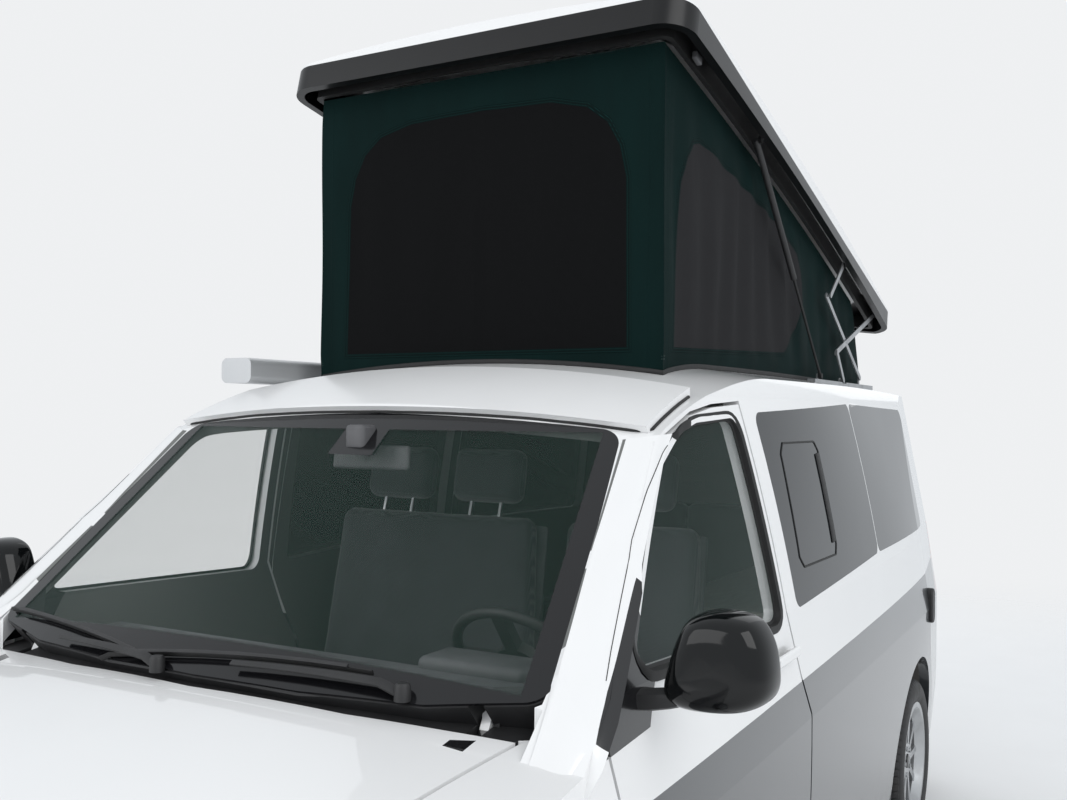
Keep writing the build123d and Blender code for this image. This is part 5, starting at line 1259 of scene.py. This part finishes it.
class CAMPER_OT_windows(bpy.types.Operator):
    """Rubber round the door windows, the smooth skin of the windscreen pillars and the sliding pane's frame."""

    bl_idname = "camper.windows"
    bl_label = "Windows"

    def execute(self, context):
        for name, side in SIDES:
            pane = NODES[f"door_glass_{name}"].data
            outline = hull([(v.co.x, v.co.z) for v in pane.vertices])
            skin, glass = surface_of(f"door_{name}"), surface_of(f"door_glass_{name}")
            strip = frame_strip(outline, skin, glass, side)
            finished(f"door_window_rubber_{name}", strip, "seal_rubber", f"door_{name}_body")
            skin, seam = pillar_skin(side)
            finished(f"pillar_skin_{name}", skin, "body_paint", "van")
            finished(f"door_seam_{name}", seam, "seal_rubber", "van")
        (x0, z0), (x1, z1) = SLIDER_PANE
        outline = [
            (x0 + 0.02, z0), (x1 - 0.03, z0), (x1, z0 + 0.03), (x1, z1 - 0.03), (x1 - 0.03, z1), (x0 + 0.06, z1),
            (x0 + 0.03, z1 - 0.03), (x0, z0 + 0.03),
        ]
        glass = surface_of("side_glass")
        lean = Vector((0, 1, 0.18))
        path = [Vector((p.x, (side_hit(glass, p, 1) or 0.9) + 0.0008, p.y)) for p in spread(outline, 120)]
        bar = sorted((p for p in path if p.x < x0 + 0.10 and z0 + 0.03 < p.z < z1 - 0.03), key=lambda p: p.z)
        bars = [
            swept(path, 0.006, 0.004, lean, closed=True),
            swept([p + Vector((0.022, 0.0006, 0)) for p in bar], 0.042, 0.004, lean),
        ]
        finished("sliding_pane_frame", joined("sliding_pane", bars), "seal_rubber", "van")
        return {"FINISHED"}


def along_line(points, share):
    """A point part of the way along a few."""
    points = [Vector(p) for p in points]
    at = share * (len(points) - 1)
    i = min(int(at), len(points) - 2)
    return points[i].lerp(points[i + 1], at - i)


def pillar_skin(side):
    """Painted skin of a windscreen pillar, laid smoothly over the panels below it, and the seam on it."""
    name = "left" if side > 0 else "right"
    surface = surface_of(f"door_{name}", f"body_side_{name}", "front_wings", "windscreen", "cowl")
    screen = surface_of("windscreen")
    front = []
    for k in range(30):
        z = 1.215 + 0.530 * k / 29
        y = side * screen_edge(z)
        hit = screen.ray_cast(Vector((2.2, y - side * 0.012, z)), Vector((-1, 0, 0)))[0]
        if hit:
            front.append(Vector((hit.x - 0.004, abs(y) + 0.002, z)))
    front = [front[0] + (front[0] - front[3]).normalized() * 0.15] + front
    front = [along_line(front, k / 24) for k in range(25)]
    # The skin lies on the highest of the panels found near each place, smoothed
    out = Vector((0.50, 0.86, 0.12)).normalized()
    rows, columns = 60, 18
    places = [[along_line(front, i / rows).lerp(along_line(PILLAR_REAR, i / rows), k / columns)
               for k in range(columns + 1)] for i in range(rows + 1)]
    flip = Vector((1, side, 1))
    away, deepest = 0.15, 0.22

    def height(place):
        hit = surface.ray_cast((place + out * away) * flip, -out * flip)
        return away - hit[3] if hit[0] and hit[3] < deepest else -0.05

    def near(table, i, k):
        return [table[a][b] for a in range(max(i - 2, 0), min(i + 2, rows) + 1)
                for b in range(max(k - 2, 0), min(k + 2, columns) + 1)]

    def filtered(table, choose):
        return [[choose(near(table, i, k)) for k in range(columns + 1)] for i in range(rows + 1)]

    heights = filtered([[height(place) for place in line] for line in places], max)
    for _ in range(3):
        heights = filtered(heights, lambda values: sum(values) / len(values))
    points = []
    for i in range(-1, rows + 2):
        for k in range(-1, columns + 2):
            a, b = min(max(i, 0), rows), min(max(k, 0), columns)
            sunk = max(0.022 if (a, b) != (i, k) else 0.0, (5 - a) * 0.006)
            place = places[a][b] + out * (heights[a][b] + 0.0012 - sunk)
            points.append(place * flip)
    # One more row and column on each side than places, sunk under the panels
    faces = grid_faces(rows + 3, columns + 3)
    mesh = bpy.data.meshes.new("pillar")
    mesh.from_pydata([tuple(p) for p in points], [], faces)
    if sum(f.normal.y * side for f in mesh.polygons) < 0:
        mesh.flip_normals()
    cover = BVHTree.FromPolygons(points, faces)
    path = []
    for k in range(41):
        place = along_line(DOOR_SEAM, k / 40) + out * 0.10
        hit = cover.ray_cast(place * flip, -out * flip)[0]
        if hit:
            path.append(hit)
    return mesh, swept(path, 0.0024, 0.0012, out * flip)


def lowest_edge(surface, start, way, top, bottom):
    """Where a surface ends as a level line of sight is lowered across it."""
    last, z = None, top
    while z > bottom:
        hit = surface.ray_cast(Vector((*start, z)), Vector(way))
        if hit[0] and hit[3] < 0.60:
            last = hit[0]
        elif last is not None:
            break
        z -= 0.001
    return last


class CAMPER_OT_roof_trim(bpy.types.Operator):
    """Rubber strip along the fairing's lower edge, and the catches of the roof shell."""

    bl_idname = "camper.roof_trim"
    bl_label = "Roof trim"

    def execute(self, context):
        cap = surface_of("front_cap")
        half = []
        for k in range(37):
            y = 0.72 * k / 36
            edge = lowest_edge(cap, (1.35, y), (-1, 0, 0), 1.86, 1.70)
            if edge:
                half.append(edge + Vector((0.0008, 0, 0.001)))
        corner = half[-1]
        for k in range(1, 24):
            x = corner.x - 0.012 * k
            edge = lowest_edge(cap, (x, 1.05), (0, -1, 0), 1.90, 1.70)
            if edge and x > 0.67:
                half.append(edge + Vector((0, 0.0008, 0.001)))
        inner = [(a + b * 2 + c) / 4 for a, b, c in zip(half, half[1:], half[2:])]
        half = [half[0], *inner, half[-1]]
        strip = [Vector((p.x, -p.y, p.z)) for p in reversed(half[1:])] + half
        finished("fairing_strip", swept(strip, 0.010, 0.008), "seal_rubber", "van")
        x = 0.36
        z = RIM_FRONT.z - (RIM_FRONT.x - x) * math.tan(RIM_SLOPE)
        turn = Matrix.Rotation(-RIM_SLOPE, 4, "Y")
        catches = [
            rounded_block((x - 0.022, y - 0.008, z + 0.010), (x + 0.022, y + 0.008, z + 0.034), 0.004, turn)
            for y in (0.644, -0.644)
        ]
        finished("roof_catches", joined("catches", catches), "trim_grey", "poptop")
        return {"FINISHED"}


class CAMPER_OT_bolts(bpy.types.Operator):
    """Pin heads of the roof bars."""

    bl_idname = "camper.bolts"
    bl_label = "Roof bar pins"

    def execute(self, context):
        heads = {
            "bar_a_body": (("scissor_bar_a", -1.4102, 2.086), ("scissor_bar_a", -1.091, 2.252)),
            "bar_b_body": (("scissor_bar_b", -1.225, 2.030),), "poptop": (("poptop_shell", -0.163, 2.665),),
        }
        profile = [(0.0005, 0.0025), (0.006, 0.0022), (0.0085, 0.0010), (0.009, -0.001)]
        for body, places in heads.items():
            discs = []
            for node, x, z in places:
                surface = surface_of(node)
                for _, side in SIDES:
                    hit = surface.ray_cast(Vector((x, side * 0.80, z)), Vector((0, -side, 0)))[0]
                    if hit and 0.60 < abs(hit.y) < 0.68:
                        discs.append(turned([(r, side * a) for r, a in profile], (x, hit.y, z), "Y", 24))
            if discs:
                finished(f"pin_heads_{body}", joined("heads", discs), "bar_steel", body)
        return {"FINISHED"}


class CAMPER_OT_cabin(bpy.types.Operator):
    """Vents and panel of the dashboard, instrument hood, cupboard fronts and their knobs."""

    bl_idname = "camper.cabin"
    bl_label = "Cabin fittings"

    def execute(self, context):
        vents = [
            rounded_block((1.000, y - 0.060, 1.075), (1.024, y + 0.060, 1.125), 0.006)
            for y in (-0.66, -0.10, 0.14, 0.66)
        ]
        panel = rounded_block((1.002, -0.10, 0.945), (1.024, 0.14, 1.060), 0.006)
        finished("dash_vents", joined("vents", vents + [panel]), "gloss_black", "van")
        hood = rounded_block((1.010, 0.255, 1.150), (1.150, 0.545, 1.196), 0.018)
        finished("instrument_hood", hood, "trim_grey", "van")
        doors = [rounded_block((x, 0.4235, 0.53), (x + 0.44, 0.4300, 1.12), 0.003) for x in CUPBOARDS]
        finished("cupboard_fronts", joined("doors", doors), "furniture", "van")
        profile = [(0.0005, -0.016), (0.011, -0.016), (0.012, -0.010), (0.007, 0.0)]
        knobs = [turned(profile, (x + 0.40, 0.4235, 1.07), "Y", 20) for x in CUPBOARDS]
        finished("cupboard_knobs", joined("knobs", knobs), "bar_steel", "van")
        return {"FINISHED"}


class CAMPER_OT_stage(bpy.types.Operator):
    """Pale floor, soft lamps and the camera."""

    bl_idname = "camper.stage"
    bl_label = "Stage"

    def execute(self, context):
        scene = context.scene
        floor = bpy.data.meshes.new("floor")
        corners = [(x * FLOOR_REACH, y * FLOOR_REACH, 0) for x, y in ((-1, -1), (1, -1), (1, 1), (-1, 1))]
        floor.from_pydata(corners, [], [(0, 1, 2, 3)])
        ground = placed("floor", floor)
        finish = Finish("floor_pale", roughness=0.9)
        place = finish.place()
        distance = finish.node("ShaderNodeVectorMath", {"operation": "LENGTH"}, {0: place}, out="Value")
        finish.set(
            base_color=finish.blend(finish.noise(place, 3, 2), (0.86, 0.86, 0.86, 1), (0.89, 0.89, 0.89, 1)),
            alpha=1 - distance.ramp(4.5, 10),
        )
        floor.materials.append(finish.material)
        world = bpy.data.worlds.new("studio")
        scene.world = world
        world.use_nodes = True
        tree = world.node_tree
        tree.nodes.clear()
        output = tree.nodes.new("ShaderNodeOutputWorld")
        soft, plain = tree.nodes.new("ShaderNodeBackground"), tree.nodes.new("ShaderNodeBackground")
        soft.inputs["Color"].default_value = (0.92, 0.96, 1.0, 1)
        soft.inputs["Strength"].default_value = 0.80
        plain.inputs["Strength"].default_value = 1.0
        plain.inputs["Color"].default_value = (0.86, 0.872, 0.885, 1)
        ray, mix = tree.nodes.new("ShaderNodeLightPath"), tree.nodes.new("ShaderNodeMixShader")
        tree.links.new(ray.outputs["Is Camera Ray"], mix.inputs[0])
        tree.links.new(soft.outputs[0], mix.inputs[1])
        tree.links.new(plain.outputs[0], mix.inputs[2])
        tree.links.new(mix.outputs[0], output.inputs["Surface"])
        aim = UP * 1.2
        for name, place, size, power in (
            ("key", (3.5, 6.5, 6.5), 6.0, 260), ("fill", (7.0, -3.5, 4.5), 6.0, 180),
            ("back", (-7.0, -1.5, 6.0), 8.0, 90),
        ):
            light = bpy.data.lights.new(name, "AREA")
            light.shape = "SQUARE"
            light.size = size
            light.energy = power
            lamp = placed(name, light)
            lamp.location = place
            lamp.rotation_euler = (aim - Vector(place)).to_track_quat("-Z", "Y").to_euler()
        lens_data = bpy.data.cameras.new("camera")
        lens_data.lens = 36.28
        lens_data.sensor_width = 36
        lens_data.clip_end = 200
        camera = placed("camera", lens_data)
        back = Vector((0.87069, 0.49162, -0.01432)).normalized()
        up = back.cross(Vector((-0.49153, 0.87080, 0.00859))).normalized()
        right = up.cross(back).normalized()
        turn = Matrix((right, up, back)).transposed().to_4x4()
        camera.matrix_world = Matrix.Translation((3.2221, 1.7375, 1.7623)) @ turn
        scene.camera = camera
        scene.view_settings.view_transform = "Standard"
        return {"FINISHED"}


class CAMPER_PT_panel(bpy.types.Panel):
    """Shows the colours, the sizes and a button for each step that builds the camper van."""

    bl_idname = "CAMPER_PT_panel"
    bl_label = "Camper van"
    bl_space_type = "VIEW_3D"
    bl_region_type = "UI"
    bl_category = "Camper"

    def draw(self, context):
        for group in (context.scene.camper_colours, context.scene.camper_sizes):
            for key in group.bl_rna.properties.keys():
                if key not in {"rna_type", "name"}:
                    self.layout.prop(group, key)
        for step in STEPS:
            self.layout.operator(step.bl_idname)


STEPS = (
    CAMPER_OT_stage, CAMPER_OT_finishes, CAMPER_OT_tent, CAMPER_OT_seats, CAMPER_OT_wheels, CAMPER_OT_screen_trim,
    CAMPER_OT_lamps, CAMPER_OT_mirrors, CAMPER_OT_windows, CAMPER_OT_roof_trim, CAMPER_OT_bolts, CAMPER_OT_cabin,
)
CLASSES = (CamperColours, CamperSizes, *STEPS, CAMPER_PT_panel)


def register():
    for item in CLASSES:
        bpy.utils.register_class(item)
    bpy.types.Scene.camper_colours = bpy.props.PointerProperty(type=CamperColours)
    bpy.types.Scene.camper_sizes = bpy.props.PointerProperty(type=CamperSizes)


def unregister():
    del bpy.types.Scene.camper_sizes
    del bpy.types.Scene.camper_colours
    for item in reversed(CLASSES):
        bpy.utils.unregister_class(item)


def main():
    register()
    for step in STEPS:
        family, action = step.bl_idname.split(".")
        getattr(getattr(bpy.ops, family), action)()


if __name__ == "__main__":
    main()
